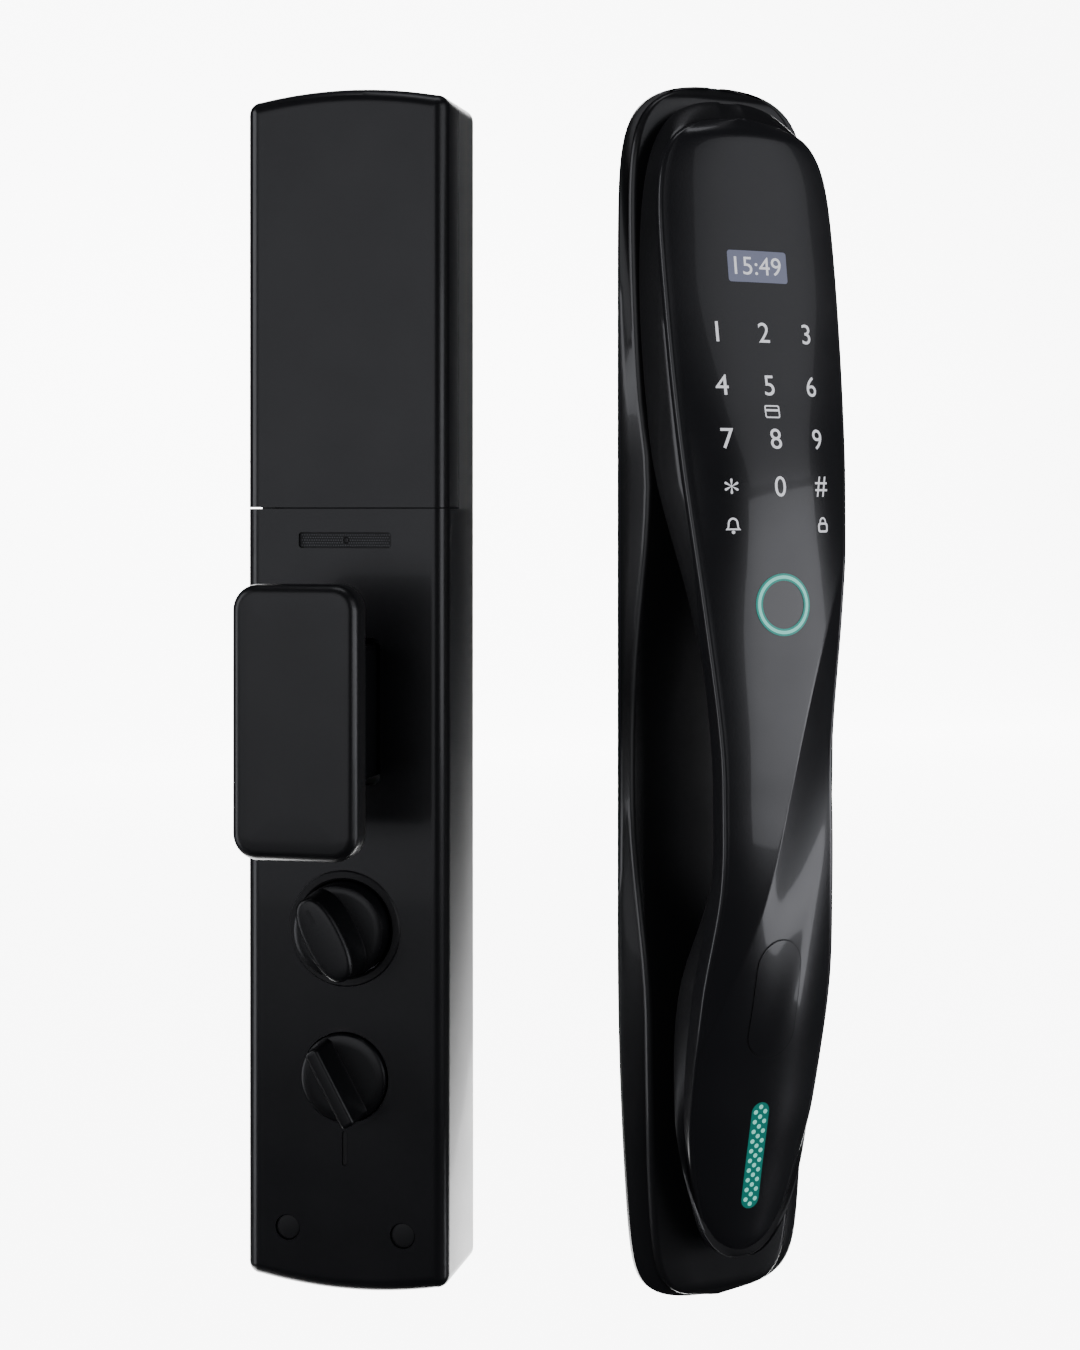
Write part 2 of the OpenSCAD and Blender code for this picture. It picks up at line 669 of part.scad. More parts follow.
module indoor_socket() {
    color("#e6e4dc") indoor() difference() {
        block([-22, -10], [0.5, plate_front + 5], [seam_z - 14, seam_z - 4]);
        block([-20, -12], [0, plate_front + 3], [seam_z - 12.5, seam_z - 5.5]);
    }
}

module control_board() {
    depth = bay_depth - housing_wall - 4;
    color("#1f5a38") indoor() difference() {
        block([-28, 28], [depth, depth + 1.6], [seam_z + 2, hh - 12]);
        rod_y(0, post_z[0], [0, indoor_d], 8);
    }
}

module battery_tray() {
    color("#2c2d30") indoor() difference() {
        block([-30.2, 30.2], [bay_depth, indoor_d - 7], [bay_mid - bay_half + 0.3, bay_mid + bay_half - 0.3]);
        for (i = [0:3], s = [-1, 1])
            translate([(i - 1.5) * 14.7, -(bay_depth + 1.2 + cell_r), bay_mid + s * (cell_l + 3) / 2])
                cylinder(h = cell_l + 1.4, r = cell_r + 0.15, center = true);
        block([-29, 29], [bay_depth + 1.2 + cell_r, indoor_d], [bay_mid - bay_half + 1.6, bay_mid + bay_half - 1.6]);
    }
}

module batteries() {
    color("#c77a2a") indoor() for (i = [0:3], s = [-1, 1])
        translate([(i - 1.5) * 14.7, -(bay_depth + 1.2 + cell_r), bay_mid + s * (cell_l + 3) / 2]) {
            cylinder(h = cell_l - 1, r = cell_r, center = true);
            translate([0, 0, (cell_l - 1) / 2 * (i % 2 == 0 ? 1 : -1)]) cylinder(h = 0.8, r = 2.7, center = true);
        }
}

module battery_contacts() {
    color("#c4c6ca") indoor() for (i = [0:3], s = [-1, 1])
        block([(i - 1.5) * 14.7 - 4, (i - 1.5) * 14.7 + 4], [bay_depth + 9, indoor_d - 8],
              s > 0 ? [bay_mid + bay_half - 2.4, bay_mid + bay_half - 1.6] : [bay_mid - bay_half + 1.6, bay_mid - bay_half + 2.4]);
}

module battery_cover() {
    cover_wall = 1.6;
    start = indoor_d - cover_d + gap;
    color("#202124") indoor() difference() {
        intersection() {
            front_prism(arched_outline(indoor_w, unit_h, 0), start, indoor_d);
            block([-half_in, half_in], [0, indoor_d], [seam_z + gap, hh]);
        }
        intersection() {
            front_prism(arched_outline(indoor_w, unit_h, cover_wall), start - over, indoor_d - cover_wall);
            block([-half_in, half_in], [0, indoor_d], [seam_z - over, hh]);
        }
    }
}

module speaker_grille() {
    color("#0e0f10") indoor() difference() {
        block([-slot_size[0] / 2, slot_size[0] / 2], [indoor_d - housing_wall - 1, indoor_d - 1],
              [slot_z - slot_size[1] / 2, slot_z + slot_size[1] / 2]);
        rod_y(0, slot_z, [indoor_d - 8, indoor_d], 0.9);
    }
}

module speaker() {
    color("#3a3b3e") indoor() rod_y(0, slot_z - 1, [indoor_d - housing_wall - 7, indoor_d - housing_wall - 1.5], 8);
}

module rounded_block(w, h, r, depth, z) {
    for (s = [-1, 1], t = [-1, 1]) rod_y(s * (w / 2 - r), z + t * (h / 2 - r), depth, r);
    block([-w / 2 + r, w / 2 - r], depth, [z - h / 2, z + h / 2]);
    block([-w / 2, w / 2], depth, [z - h / 2 + r, z + h / 2 - r]);
}

module paddle_cover() {
    color("#232426") indoor() difference() {
        rounded_block(paddle_w, paddle_h, 8.5, [paddle_back, paddle_front], paddle_z);
        block([-paddle_w / 2 + 5, paddle_w / 2 - 5], [paddle_back - over, paddle_back + arm_flange_t],
              [paddle_z - paddle_h / 2 + 10, paddle_z + paddle_h / 2 - 10]);
        for (s = [-1, 1]) rod_y(0, paddle_z + s * 27, [paddle_back, paddle_back + 9], 1.25);
    }
}

module paddle_arm() {
    lug_r = 5;
    roller_top = indoor_spindle_z + 1.8;
    color("#1c1d1f") indoor() difference() {
        union() {
            block([-paddle_w / 2 + 5.1, paddle_w / 2 - 5.1], [paddle_back, paddle_back + arm_flange_t],
                  [paddle_z - paddle_h / 2 + 10.1, paddle_z + paddle_h / 2 - 10.1]);
            block(neck_x, [pivot_depth + 4, paddle_back], neck_z);
            block(neck_x, [pivot_depth - 3, pivot_depth + 5], [neck_z[1] - 8, pivot_z]);
            rod_x(pivot_depth, pivot_z, neck_x, lug_r);
            // Wedge that presses on the spindle's crank pin
            translate([9, 0, 0]) rotate([90, 0, 90]) linear_extrude(4)
                polygon([[-16, roller_top + 0.5], [-16, roller_top + 4], [-pivot_depth - 6, roller_top + 8],
                         [-pivot_depth - 6, neck_z[0] + 2], [-22, roller_top - 9.4]]);
        }
        rod_x(pivot_depth, pivot_z, [-30, 30], 2 + fit);
        for (s = [-1, 1]) rod_y(0, paddle_z + s * 27, [paddle_back - over, paddle_back + 4], 1.6);
        block([-8, 8], [pivot_depth - 8, pivot_depth + 7], [pivot_z - 7.5, pivot_z + 7.5]);
    }
}

module paddle_screws() {
    color("#55585c") indoor() for (s = [-1, 1]) {
        rod_y(0, paddle_z + s * 27, [paddle_back - 1.4, paddle_back], 2.8);
        rod_y(0, paddle_z + s * 27, [paddle_back, paddle_back + 8.5], 1.25);
    }
}

module paddle_pin() {
    color("#b8bbc0") indoor() rod_x(pivot_depth, pivot_z, [-19, 19], 2);
}

module paddle_spring() {
    color("#c4c6ca") indoor() coil(pivot_depth, pivot_z, [-7, 7], 3.4, 0.6, 8);
}

module indoor_spindle() {
    hub = [plate_front + gap, 10];
    color("#b8bbc0") indoor() {
        block([-spindle_side / 2, spindle_side / 2], [-reach_back, hub[0]],
              [indoor_spindle_z - spindle_side / 2, indoor_spindle_z + spindle_side / 2]);
        rod_y(0, indoor_spindle_z, hub, 8);
        block([0, 12], [7, 10], [indoor_spindle_z - 2, indoor_spindle_z + 2]);
        rod_y(12, indoor_spindle_z, [7, 16], 1.8);
    }
}

module turn_ring() {
    color("#0f1011") indoor() difference() {
        rod_y(0, turn_z, [indoor_d - housing_wall - 1.5, indoor_d + 0.6], ring_r);
        rod_y(0, turn_z, [indoor_d - housing_wall - 3, indoor_d + 2], turn_r + 0.5);
    }
}

module lean(z) {
    translate([0, 0, z]) rotate([0, -knob_lean, 0]) translate([0, 0, -z]) children();
}

module turn_knob() {
    grip_w = 13;
    color("#17181a") indoor() {
        rod_y(0, turn_z, [indoor_d - 5, indoor_d + 8], turn_r);
        lean(turn_z) intersection() {
            rod_y(0, turn_z, [indoor_d + 6, indoor_d + 23], turn_r - 0.8);
            block([-grip_w / 2, grip_w / 2], [indoor_d + 5, indoor_d + 23], [turn_z - turn_r, turn_z + turn_r]);
        }
    }
}

module turn_shaft() {
    color("#b8bbc0") indoor() {
        rod_y(0, turn_z, [plate_front + 3, indoor_d - 5], shaft_r);
        block([-tail_side / 2, tail_side / 2], [-reach_back, plate_front + 3],
              [turn_z - tail_side / 2, turn_z + tail_side / 2]);
    }
}

// Gear with slim straight-sided teeth, in the X-Z plane about the origin
module toothed(teeth, depth, turn) {
    pitch_r = teeth * gear_module / 2;
    root = pitch_r - 1.1;
    tip = pitch_r + 0.75;
    root_half = 0.22 * 360 / teeth;
    tip_half = 0.09 * 360 / teeth;
    corners = [[root, -root_half], [tip, -tip_half], [tip, tip_half], [root, root_half]];
    front_prism([for (i = [0:teeth - 1], c = corners) let (a = i * 360 / teeth + c[1] + turn)
        [c[0] * cos(a), c[0] * sin(a)]], depth[0], depth[1]);
}

module drive_gear() {
    color("#d9d4c4") indoor() difference() {
        translate([0, 0, turn_z]) toothed(gear_teeth, gear_depth, pinion_angle);
        rod_y(0, turn_z, [0, indoor_d], shaft_r);
    }
}

module drive_motor() {
    color("#9a9ca0") indoor() {
        rod_y(pinion_x, pinion_z, [18, 30], 7);
        rod_y(pinion_x, pinion_z, [gear_depth[0], 18], 1.4);
    }
}

module motor_pinion() {
    color("#c9a24a") indoor() difference() {
        translate([pinion_x, 0, pinion_z]) toothed(pinion_teeth, gear_depth, 180 + pinion_angle + 180 / pinion_teeth);
        rod_y(pinion_x, pinion_z, [0, indoor_d], 1.4 + fit);
    }
}

module knob_plate() {
    depth = [22, 24];
    reach_x = half_in - housing_wall - 0.5;
    color("#8f9296") indoor() difference() {
        union() {
            block([-reach_x, 4], depth, [turn_z - 12, turn_z + 12]);
            block([4, reach_x], depth, [turn_z - 12, turn_z + 4]);
            block([-12, 12], depth, [privacy_z - 12, turn_z]);
        }
        rod_y(0, turn_z, [depth[0] - over, depth[1] + over], shaft_r + fit);
        rod_y(0, privacy_z, [depth[0] - over, depth[1] + over], shaft_r + fit);
    }
}

module privacy_knob() {
    grip_w = 5;
    color("#17181a") indoor() {
        rod_y(0, privacy_z, [indoor_d - 5, indoor_d + 2.5], privacy_r);
        lean(privacy_z) intersection() {
            rod_y(0, privacy_z, [indoor_d + 1, indoor_d + 17], privacy_r - 0.6);
            block([-grip_w / 2, grip_w / 2], [indoor_d, indoor_d + 17],
                  [privacy_z - privacy_r, privacy_z + privacy_r]);
        }
    }
}

module privacy_shaft() {
    color("#b8bbc0") indoor() {
        rod_y(0, privacy_z, [plate_front + 3, indoor_d - 5], shaft_r);
        block([-tail_side / 2, tail_side / 2], [-reach_back, plate_front + 3],
              [privacy_z - tail_side / 2, privacy_z + tail_side / 2]);
    }
}

module position_mark() {
    color("#08090a") indoor() block([-0.95, 0.95], [indoor_d - 0.8, indoor_d - 0.2], [mark_z - 5.9, mark_z + 5.9]);
}

outdoor_gasket();
outdoor_plate();
outdoor_base();
outdoor_base_screws();
threaded_posts();
outdoor_socket();
rod_guides();
hinge_pin();
hinge_spring();
rocker_pin();
handle_shell();
handle_cover();
hinge_bushes();
keypad_board();
card_antenna();
display_window();
finger_sensor();
finger_ring();
light_strip();
handle_screws();
key_cylinder();
key_cover();
key_plug();
rocker_lever();
pull_rod();
outdoor_spindle();
indoor_gasket();
indoor_plate();
indoor_housing();
housing_screws();
screw_plugs();
door_bolts();
indoor_socket();
control_board();
battery_tray();
batteries();
battery_contacts();
battery_cover();
speaker_grille();
speaker();
paddle_cover();
paddle_arm();
paddle_screws();
paddle_pin();
paddle_spring();
indoor_spindle();
turn_ring();
turn_knob();
turn_shaft();
drive_gear();
drive_motor();
motor_pinion();
knob_plate();
privacy_knob();
privacy_shaft();
position_mark();
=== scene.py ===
import json
import math
import bpy
import bmesh
from mathutils import Matrix, Vector


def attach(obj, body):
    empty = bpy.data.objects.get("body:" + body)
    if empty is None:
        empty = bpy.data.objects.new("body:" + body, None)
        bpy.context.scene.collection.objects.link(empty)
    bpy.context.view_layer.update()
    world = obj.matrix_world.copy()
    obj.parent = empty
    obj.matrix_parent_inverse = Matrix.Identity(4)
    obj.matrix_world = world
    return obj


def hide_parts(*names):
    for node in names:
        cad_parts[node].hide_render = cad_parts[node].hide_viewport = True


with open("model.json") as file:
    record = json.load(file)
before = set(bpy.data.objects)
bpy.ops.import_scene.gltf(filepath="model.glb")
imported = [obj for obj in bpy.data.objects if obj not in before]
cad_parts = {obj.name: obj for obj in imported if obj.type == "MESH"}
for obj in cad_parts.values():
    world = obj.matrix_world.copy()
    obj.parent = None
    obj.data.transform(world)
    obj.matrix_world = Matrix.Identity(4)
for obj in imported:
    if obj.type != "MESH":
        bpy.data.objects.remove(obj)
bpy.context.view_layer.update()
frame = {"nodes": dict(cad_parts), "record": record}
record = frame["record"]
mm = 0.001
print("frame loaded")

# Outdoor profile, top to bottom: height, front half-width, rear half-width, front depth,
# rear depth of the handle, depth of the base (parts of half height, half width and reach),
# and the fall of the front from its centre line to its edges in millimetres
handleProfile = [
    (0.935, 0.850, 0.880, 0.488, 0.160, 0.100, 4.0),
    (0.780, 0.872, 0.930, 0.569, 0.175, 0.118, 4.6),
    (0.634, 0.868, 0.945, 0.656, 0.200, 0.150, 4.5),
    (0.488, 0.846, 0.930, 0.772, 0.262, 0.215, 6.0),
    (0.351, 0.802, 0.905, 0.898, 0.372, 0.338, 8.3),
    (0.132, 0.690, 0.736, 0.949, 0.640, 0.235, 4.6),
    (-0.073, 0.575, 0.608, 0.992, 0.780, 0.150, 3.5),
    (-0.195, 0.565, 0.592, 1.000, 0.780, 0.150, 3.4),
    (-0.302, 0.578, 0.606, 0.976, 0.700, 0.155, 4.2),
    (-0.473, 0.660, 0.722, 0.880, 0.440, 0.209, 7.6),
    (-0.668, 0.628, 0.715, 0.671, 0.372, 0.193, 6.4),
    (-0.780, 0.515, 0.630, 0.549, 0.372, 0.167, 5.5),
    (-0.915, 0.380, 0.470, 0.440, 0.372, 0.152, 4.0),
]
outdoor = {
    "halfHeight": 205.0,
    "halfWidth": 36.7,
    "reach": 49.2,
    "gasket": 1.0,
    "baseDraft": 2.6,       # how much the base narrows towards its front, at the top
    "lowerDraft": 6.0,      # and towards the lower end
    "baseEdge": 2.2,        # round along the base's front edge
    "shellEdge": 1.4,
    "shellRise": 7.0,       # how far the shell's rear edge reaches above the glossy front
    "frontFlare": 1.4,      # extra half-width of the glossy front's visible edge
    "frontEdge": 1.5,       # bevel round the glossy front
    "grip": 4.2,            # extra fall beyond the crease
    "gripCentre": 0.62,     # share of that fall given back where the crease has passed the middle
    "creaseTop": 49.0,      # height where the crease starts at the right edge
    "creaseBottom": -117.0, # height where it ends at the left edge
}
indoor = {
    "halfHeight": 205.0,
    "width": 71.6,
    "depth": 36.0,
    "arch": 3.0,
    "corner": 4.5,
    "lean": 29.0,           # turn of both grips away from upright, in degrees
}
boltShift = 0.020           # from the unit's turning point back to the bolts' mount


boltMount = next(m for m in record["mounts"] if m["name"] == "indoor_bolts")
indoorBack = Vector(boltMount["axis"])
indoorOrigin = Vector(boltMount["pos_m"]) - indoorBack * boltShift
indoorOrigin.z = 0.0
indoorPlace = Matrix((
    (indoorBack.y, indoorBack.x, 0, indoorOrigin.x),
    (-indoorBack.x, indoorBack.y, 0, indoorOrigin.y),
    (0, 0, 1, 0),
    (0, 0, 0, 1)))


def clamp(v, low, high):
    return max(low, min(high, v))


def smooth(v, low, high):
    t = clamp((v - low) / (high - low), 0, 1)
    return t * t * (3 - 2 * t)


def profileSlope(c, i):
    a, b = max(0, i - 1), min(len(handleProfile) - 1, i + 1)
    above, below = handleProfile[b], handleProfile[a]
    return (above[c] - below[c]) / (above[0] - below[0])


def profileAt(c, z):
    f = clamp(z / outdoor["halfHeight"], handleProfile[-1][0], handleProfile[0][0])
    i = 0
    while i < len(handleProfile) - 2 and f < handleProfile[i + 1][0]:
        i += 1
    span = handleProfile[i + 1][0] - handleProfile[i][0]
    s = (f - handleProfile[i][0]) / span
    return (handleProfile[i][c] * (2 * s**3 - 3 * s**2 + 1)
            + handleProfile[i + 1][c] * (3 * s**2 - 2 * s**3)
            + profileSlope(c, i) * span * (s**3 - 2 * s**2 + s)
            + profileSlope(c, i + 1) * span * (s**3 - s**2))


def endRound(u, sharpness):
    return max(0.0, 1 - abs(u) ** sharpness) ** 0.4


def endSteps(n, crowd=2.4):
    values = []
    for i in range(n + 1):
        s = 1 - 2 * i / n
        values.append(math.copysign(1 - (1 - abs(s)) ** crowd, s))
    return values


handleTop = handleProfile[0][0] * outdoor["halfHeight"]
handleBottom = handleProfile[-1][0] * outdoor["halfHeight"]
handleMid = (handleTop + handleBottom) / 2
handleHalf = (handleTop - handleBottom) / 2


def handleHalfWidth(rearward, z, inset=0.0):
    w = profileAt(1, z) * (1 - rearward) + profileAt(2, z) * rearward
    w = outdoor["halfWidth"] * w + outdoor["frontFlare"] * (1 - rearward) - inset
    return w * endRound((z - handleMid) / (handleHalf - inset), 20)


def baseHalfWidth(z, inset=0.0):
    half = outdoor["halfHeight"] - inset
    taper = 1 - 0.17 * max(0.0, (-z / outdoor["halfHeight"] - 0.4) / 0.6) ** 2
    return (outdoor["halfWidth"] * taper - inset) * endRound(z / half, 19 if z > 0 else 36)


def baseDepth(z):
    return max(profileAt(5, z) * outdoor["reach"], 7.4 if z < 120 else 4.5)


def creaseAt(z):
    span = outdoor["creaseTop"] - outdoor["creaseBottom"]
    return clamp(-1 + 2 * (z - outdoor["creaseBottom"]) / span, -1, 1)


def frontDepth(x, z):
    # Depth of the glossy front: crowned, with a crease that crosses it from right to left
    w = max(handleHalfWidth(0, z), 1.0)
    s = clamp(x / w, -1, 1)
    d = profileAt(3, z) * outdoor["reach"] - profileAt(6, z) * abs(s) ** 2.2
    fade = smooth(z, -165, -115)
    beyond = clamp((s - creaseAt(z)) / 0.9, 0, 1)
    middle = clamp(-creaseAt(z) / 0.9, 0, 1)
    fall = math.sin(beyond * math.pi / 2) - outdoor["gripCentre"] * math.sin(middle * math.pi / 2)
    d -= outdoor["grip"] * fade * fall
    d -= 2.5 * smooth(abs(z - handleMid), handleHalf - 9, handleHalf) ** 2
    return d


def addLoop(bm, points, closed=True):
    verts = [bm.verts.new(p) for p in points]
    pairs = list(zip(verts, verts[1:] + (verts[:1] if closed else [])))
    return [bm.edges.new(p) for p in pairs]


def loft(bm, rings, capStart=True, capEnd=True, closed=True):
    loops = [addLoop(bm, ring, closed) for ring in rings]
    for a, b in zip(loops, loops[1:]):
        bmesh.ops.bridge_loops(bm, edges=a + b)
    for loop, wanted in ((loops[0], capStart), (loops[-1], capEnd)):
        if wanted:
            bmesh.ops.triangle_fill(bm, use_beauty=True, edges=loop)
    return loops


def addObject(name, data):
    thing = bpy.data.objects.new(name, data)
    bpy.context.scene.collection.objects.link(thing)
    return thing


def finishPiece(name, bm, body, slotName, material=None, replaced=(), place=None, sharp=32):
    bmesh.ops.remove_doubles(bm, verts=bm.verts, dist=1e-4)
    bmesh.ops.recalc_face_normals(bm, faces=bm.faces)
    for face in bm.faces:
        face.smooth = True
    for edge in bm.edges:
        edge.smooth = len(edge.link_faces) == 2 and edge.calc_face_angle(0) < math.radians(sharp)
    bmesh.ops.scale(bm, vec=(mm, mm, mm), verts=bm.verts)
    if place is not None:
        bmesh.ops.transform(bm, matrix=place, verts=bm.verts)
    mesh = bpy.data.meshes.new(name)
    bm.to_mesh(mesh)
    bm.free()
    piece = addObject(name, mesh)
    mesh.materials.append(material or finishes[slotName])
    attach(piece, body)
    if replaced:
        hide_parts(*replaced)


def frontPoint(x, z, lift=0.0):
    return Vector((x, -(frontDepth(x, z) + lift), z))


def archedOutline(inset, steps=10):
    a = indoor["width"] / 2 - indoor["corner"] - max(0, inset - indoor["corner"])
    b = indoor["halfHeight"] - indoor["arch"] - indoor["corner"] - max(0, inset - indoor["corner"])
    r = indoor["corner"] - min(inset, indoor["corner"] - 0.4)
    points = []
    for quarter in range(4):
        sx = 1 if quarter in (0, 3) else -1
        sz = 1 if quarter < 2 else -1
        for i in range(steps + 1):
            t = math.radians(90 * quarter + 90 * i / steps)
            points.append((sx * a + r * math.cos(t), sz * b + r * math.sin(t)))
        if quarter in (0, 2):
            direction = -1 if quarter == 0 else 1
            for i in range(1, 2 * steps):
                x = direction * a * (i / steps - 1)
                rise = indoor["arch"] * (1 - (x / a) ** 2)
                points.append((x, sz * (b + r + rise)))
    return points


def circlePoints(x, z, r, n=48):
    angles = (2 * math.pi * i / n for i in range(n))
    return [(x + r * math.cos(t), z + r * math.sin(t)) for t in angles]


def roundedPoints(x, z, w, h, r, n=8):
    points = []
    for quarter, (sx, sz) in enumerate(((1, 1), (-1, 1), (-1, -1), (1, -1))):
        for i in range(n + 1):
            t = math.radians(90 * quarter + 90 * i / n)
            points.append((x + sx * (w / 2 - r) + r * math.cos(t),
                           z + sz * (h / 2 - r) + r * math.sin(t)))
    return points


def atDepth(points, d):
    return [Vector((x, -d, z)) for x, z in points]


def startMaterial(name, colour, roughness, metallic=0.0, coat=0.0, coatRoughness=0.05):
    material = bpy.data.materials.new(name)
    material.use_nodes = True
    shader = material.node_tree.nodes["Principled BSDF"]
    shader.inputs["Base Color"].default_value = (*colour, 1)
    shader.inputs["Roughness"].default_value = roughness
    shader.inputs["Metallic"].default_value = metallic
    shader.inputs["Coat Weight"].default_value = coat
    shader.inputs["Coat Roughness"].default_value = coatRoughness
    return material, material.node_tree, shader


def addGrain(tree, shader, scale, strength, distance, roughLow, roughHigh, stretch=(1, 1, 1)):
    # Fine noise that raises the surface and varies its gloss
    place = tree.nodes.new("ShaderNodeTexCoord")
    mapping = tree.nodes.new("ShaderNodeMapping")
    mapping.inputs["Scale"].default_value = stretch
    noise = tree.nodes.new("ShaderNodeTexNoise")
    noise.inputs["Scale"].default_value = scale
    noise.inputs["Detail"].default_value = 4
    bump = tree.nodes.new("ShaderNodeBump")
    bump.inputs["Strength"].default_value = strength
    bump.inputs["Distance"].default_value = distance
    tree.links.new(place.outputs["Object"], mapping.inputs["Vector"])
    tree.links.new(mapping.outputs["Vector"], noise.inputs["Vector"])
    tree.links.new(noise.outputs["Fac"], bump.inputs["Height"])
    tree.links.new(bump.outputs["Normal"], shader.inputs["Normal"])
    broad = tree.nodes.new("ShaderNodeTexNoise")
    broad.inputs["Scale"].default_value = scale / 40
    broad.inputs["Detail"].default_value = 3
    spread = tree.nodes.new("ShaderNodeMapRange")
    spread.inputs["To Min"].default_value = roughLow
    spread.inputs["To Max"].default_value = roughHigh
    tree.links.new(mapping.outputs["Vector"], broad.inputs["Vector"])
    tree.links.new(broad.outputs["Fac"], spread.inputs["Value"])
    tree.links.new(spread.outputs["Result"], shader.inputs["Roughness"])


def makeFinish(name, colour, roughness, metallic=0.0, coat=0.0, scale=900, strength=0.1,
               distance=0.00002, spread=0.05, stretch=(1, 1, 1)):
    material, tree, shader = startMaterial(name, colour, roughness, metallic, coat)
    addGrain(tree, shader, scale, strength, distance, roughness - spread, roughness + spread, stretch)
    return material


def makeGlow(name, colour, glow, strength):
    material, tree, shader = startMaterial(name, colour, 0.35)
    shader.inputs["Emission Color"].default_value = (*glow, 1)
    shader.inputs["Emission Strength"].default_value = strength
    addGrain(tree, shader, 1500, 0.05, 0.00001, 0.3, 0.4)
    return material


finishes = {
    "black_cast": makeFinish("satinCastPaint", (0.012, 0.012, 0.013),
                             0.32, coat=0.2, scale=2200, strength=0.12),
    "black_gloss": makeFinish("glossyFront", (0.014, 0.014, 0.016),
                              0.30, coat=0.3, scale=2600, strength=0.04),
    "black_housing": makeFinish("housingPlastic", (0.009, 0.009, 0.0105),
                                0.32, coat=0.1, scale=2000, strength=0.15),
    "black_paddle": makeFinish("paddlePlastic", (0.007, 0.007, 0.008),
                               0.36, coat=0.1, scale=2000, strength=0.12),
    "black_knob": makeFinish("knobPlastic", (0.005, 0.005, 0.006), 0.34, scale=1800, strength=0.15),
    "black_trim": makeFinish("dullTrim", (0.004, 0.004, 0.005), 0.5, scale=1800, strength=0.2),
    "mesh_thread": makeFinish("meshThread", (0.09, 0.095, 0.1), 0.5, scale=1800, strength=0.2),
    "gasket_rubber": makeFinish("gasketRubber", (0.012, 0.012, 0.012), 0.75, scale=1400, strength=0.4),
    "zinc_plate": makeFinish("zincPlate", (0.52, 0.53, 0.55),
                             0.38, 1.0, scale=500, strength=0.15, stretch=(1, 1, 6)),
    "bright_steel": makeFinish("turnedSteel", (0.62, 0.63, 0.65),
                               0.26, 1.0, scale=700, strength=0.1, stretch=(1, 8, 1)),
    "spring_steel": makeFinish("springWire", (0.6, 0.61, 0.63), 0.3, 1.0),
    "black_screw": makeFinish("blackOxide", (0.03, 0.03, 0.033), 0.4, 0.8),
    "socket_plastic": makeFinish("naturalNylon", (0.74, 0.72, 0.66), 0.5),
    "bush_nylon": makeFinish("acetal", (0.72, 0.69, 0.6), 0.45),
    "circuit_board": makeFinish("solderMask", (0.012, 0.11, 0.045), 0.35, coat=0.4),
    "copper_coil": makeFinish("copperTrack", (0.72, 0.36, 0.2), 0.32, 1.0),
    "display_glass": makeGlow("litDisplay", (0.1, 0.1, 0.13), (0.15, 0.165, 0.25), 0.8),
    "sensor_glass": makeFinish("sensorGlass", (0.014, 0.014, 0.016), 0.3, coat=0.5),
    "ring_light": makeGlow("ringLight", (0.01, 0.12, 0.1), (0.0, 0.26, 0.21), 0.9),
    "strip_light": makeGlow("stripLight", (0.005, 0.06, 0.05), (0.0, 0.15, 0.12), 0.9),
    "cylinder_brass": makeFinish("machinedBrass", (0.72, 0.5, 0.2), 0.28, 1.0, scale=600),
    "cell_wrap": makeFinish("cellSleeve", (0.5, 0.2, 0.03), 0.35, coat=0.3),
}
legendGlow = makeGlow("legendLight", (0.5, 0.5, 0.52), (0.78, 0.79, 0.84), 0.95)
ringCore = makeGlow("ringCore", (0.1, 0.4, 0.35), (0.22, 0.78, 0.66), 0.9)
dotGlow = makeGlow("stripDots", (0.15, 0.4, 0.35), (0.22, 0.78, 0.62), 1.0)
print("materials made")

for entry in record["subparts"]:
    node = frame["nodes"][entry["node"]]
    node.data.materials.clear()
    node.data.materials.append(finishes[entry["material_slot"]])


def buildBase():
    bm = bmesh.new()
    rings = []
    edge = outdoor["baseEdge"]
    for u in endSteps(76):
        z = u * (outdoor["halfHeight"] - 0.02)
        half = baseHalfWidth(z)
        endFall = 3.2 * smooth(abs(z), outdoor["halfHeight"] - 6, outdoor["halfHeight"]) ** 2
        d = baseDepth(z) - endFall
        draft = outdoor["baseDraft"] + (outdoor["lowerDraft"] - outdoor["baseDraft"]) * smooth(-z, 40, 110)
        draft -= 1.2 * smooth(z, -70, -30) * smooth(-z, -50, -10)
        narrow = min(draft, half * 0.5)
        r = min(edge, half * 0.4)
        side = [(half, outdoor["gasket"]), (half, 2.5), (half - narrow * 0.35, d * 0.55),
                (half - narrow, d - r)]
        side += [(half - narrow - r * (1 - math.cos(t)), d - r + r * math.sin(t))
                 for t in (math.radians(a) for a in (25, 50, 70, 90))]
        side.append(((half - narrow - r) * 0.5, d))
        ring = side + [(-x, y) for x, y in reversed(side)]
        rings.append([Vector((x, -y, z)) for x, y in ring])
    loft(bm, rings)
    finishPiece("outdoorBase", bm, "door_units", "black_cast", replaced=("outdoor_base",))


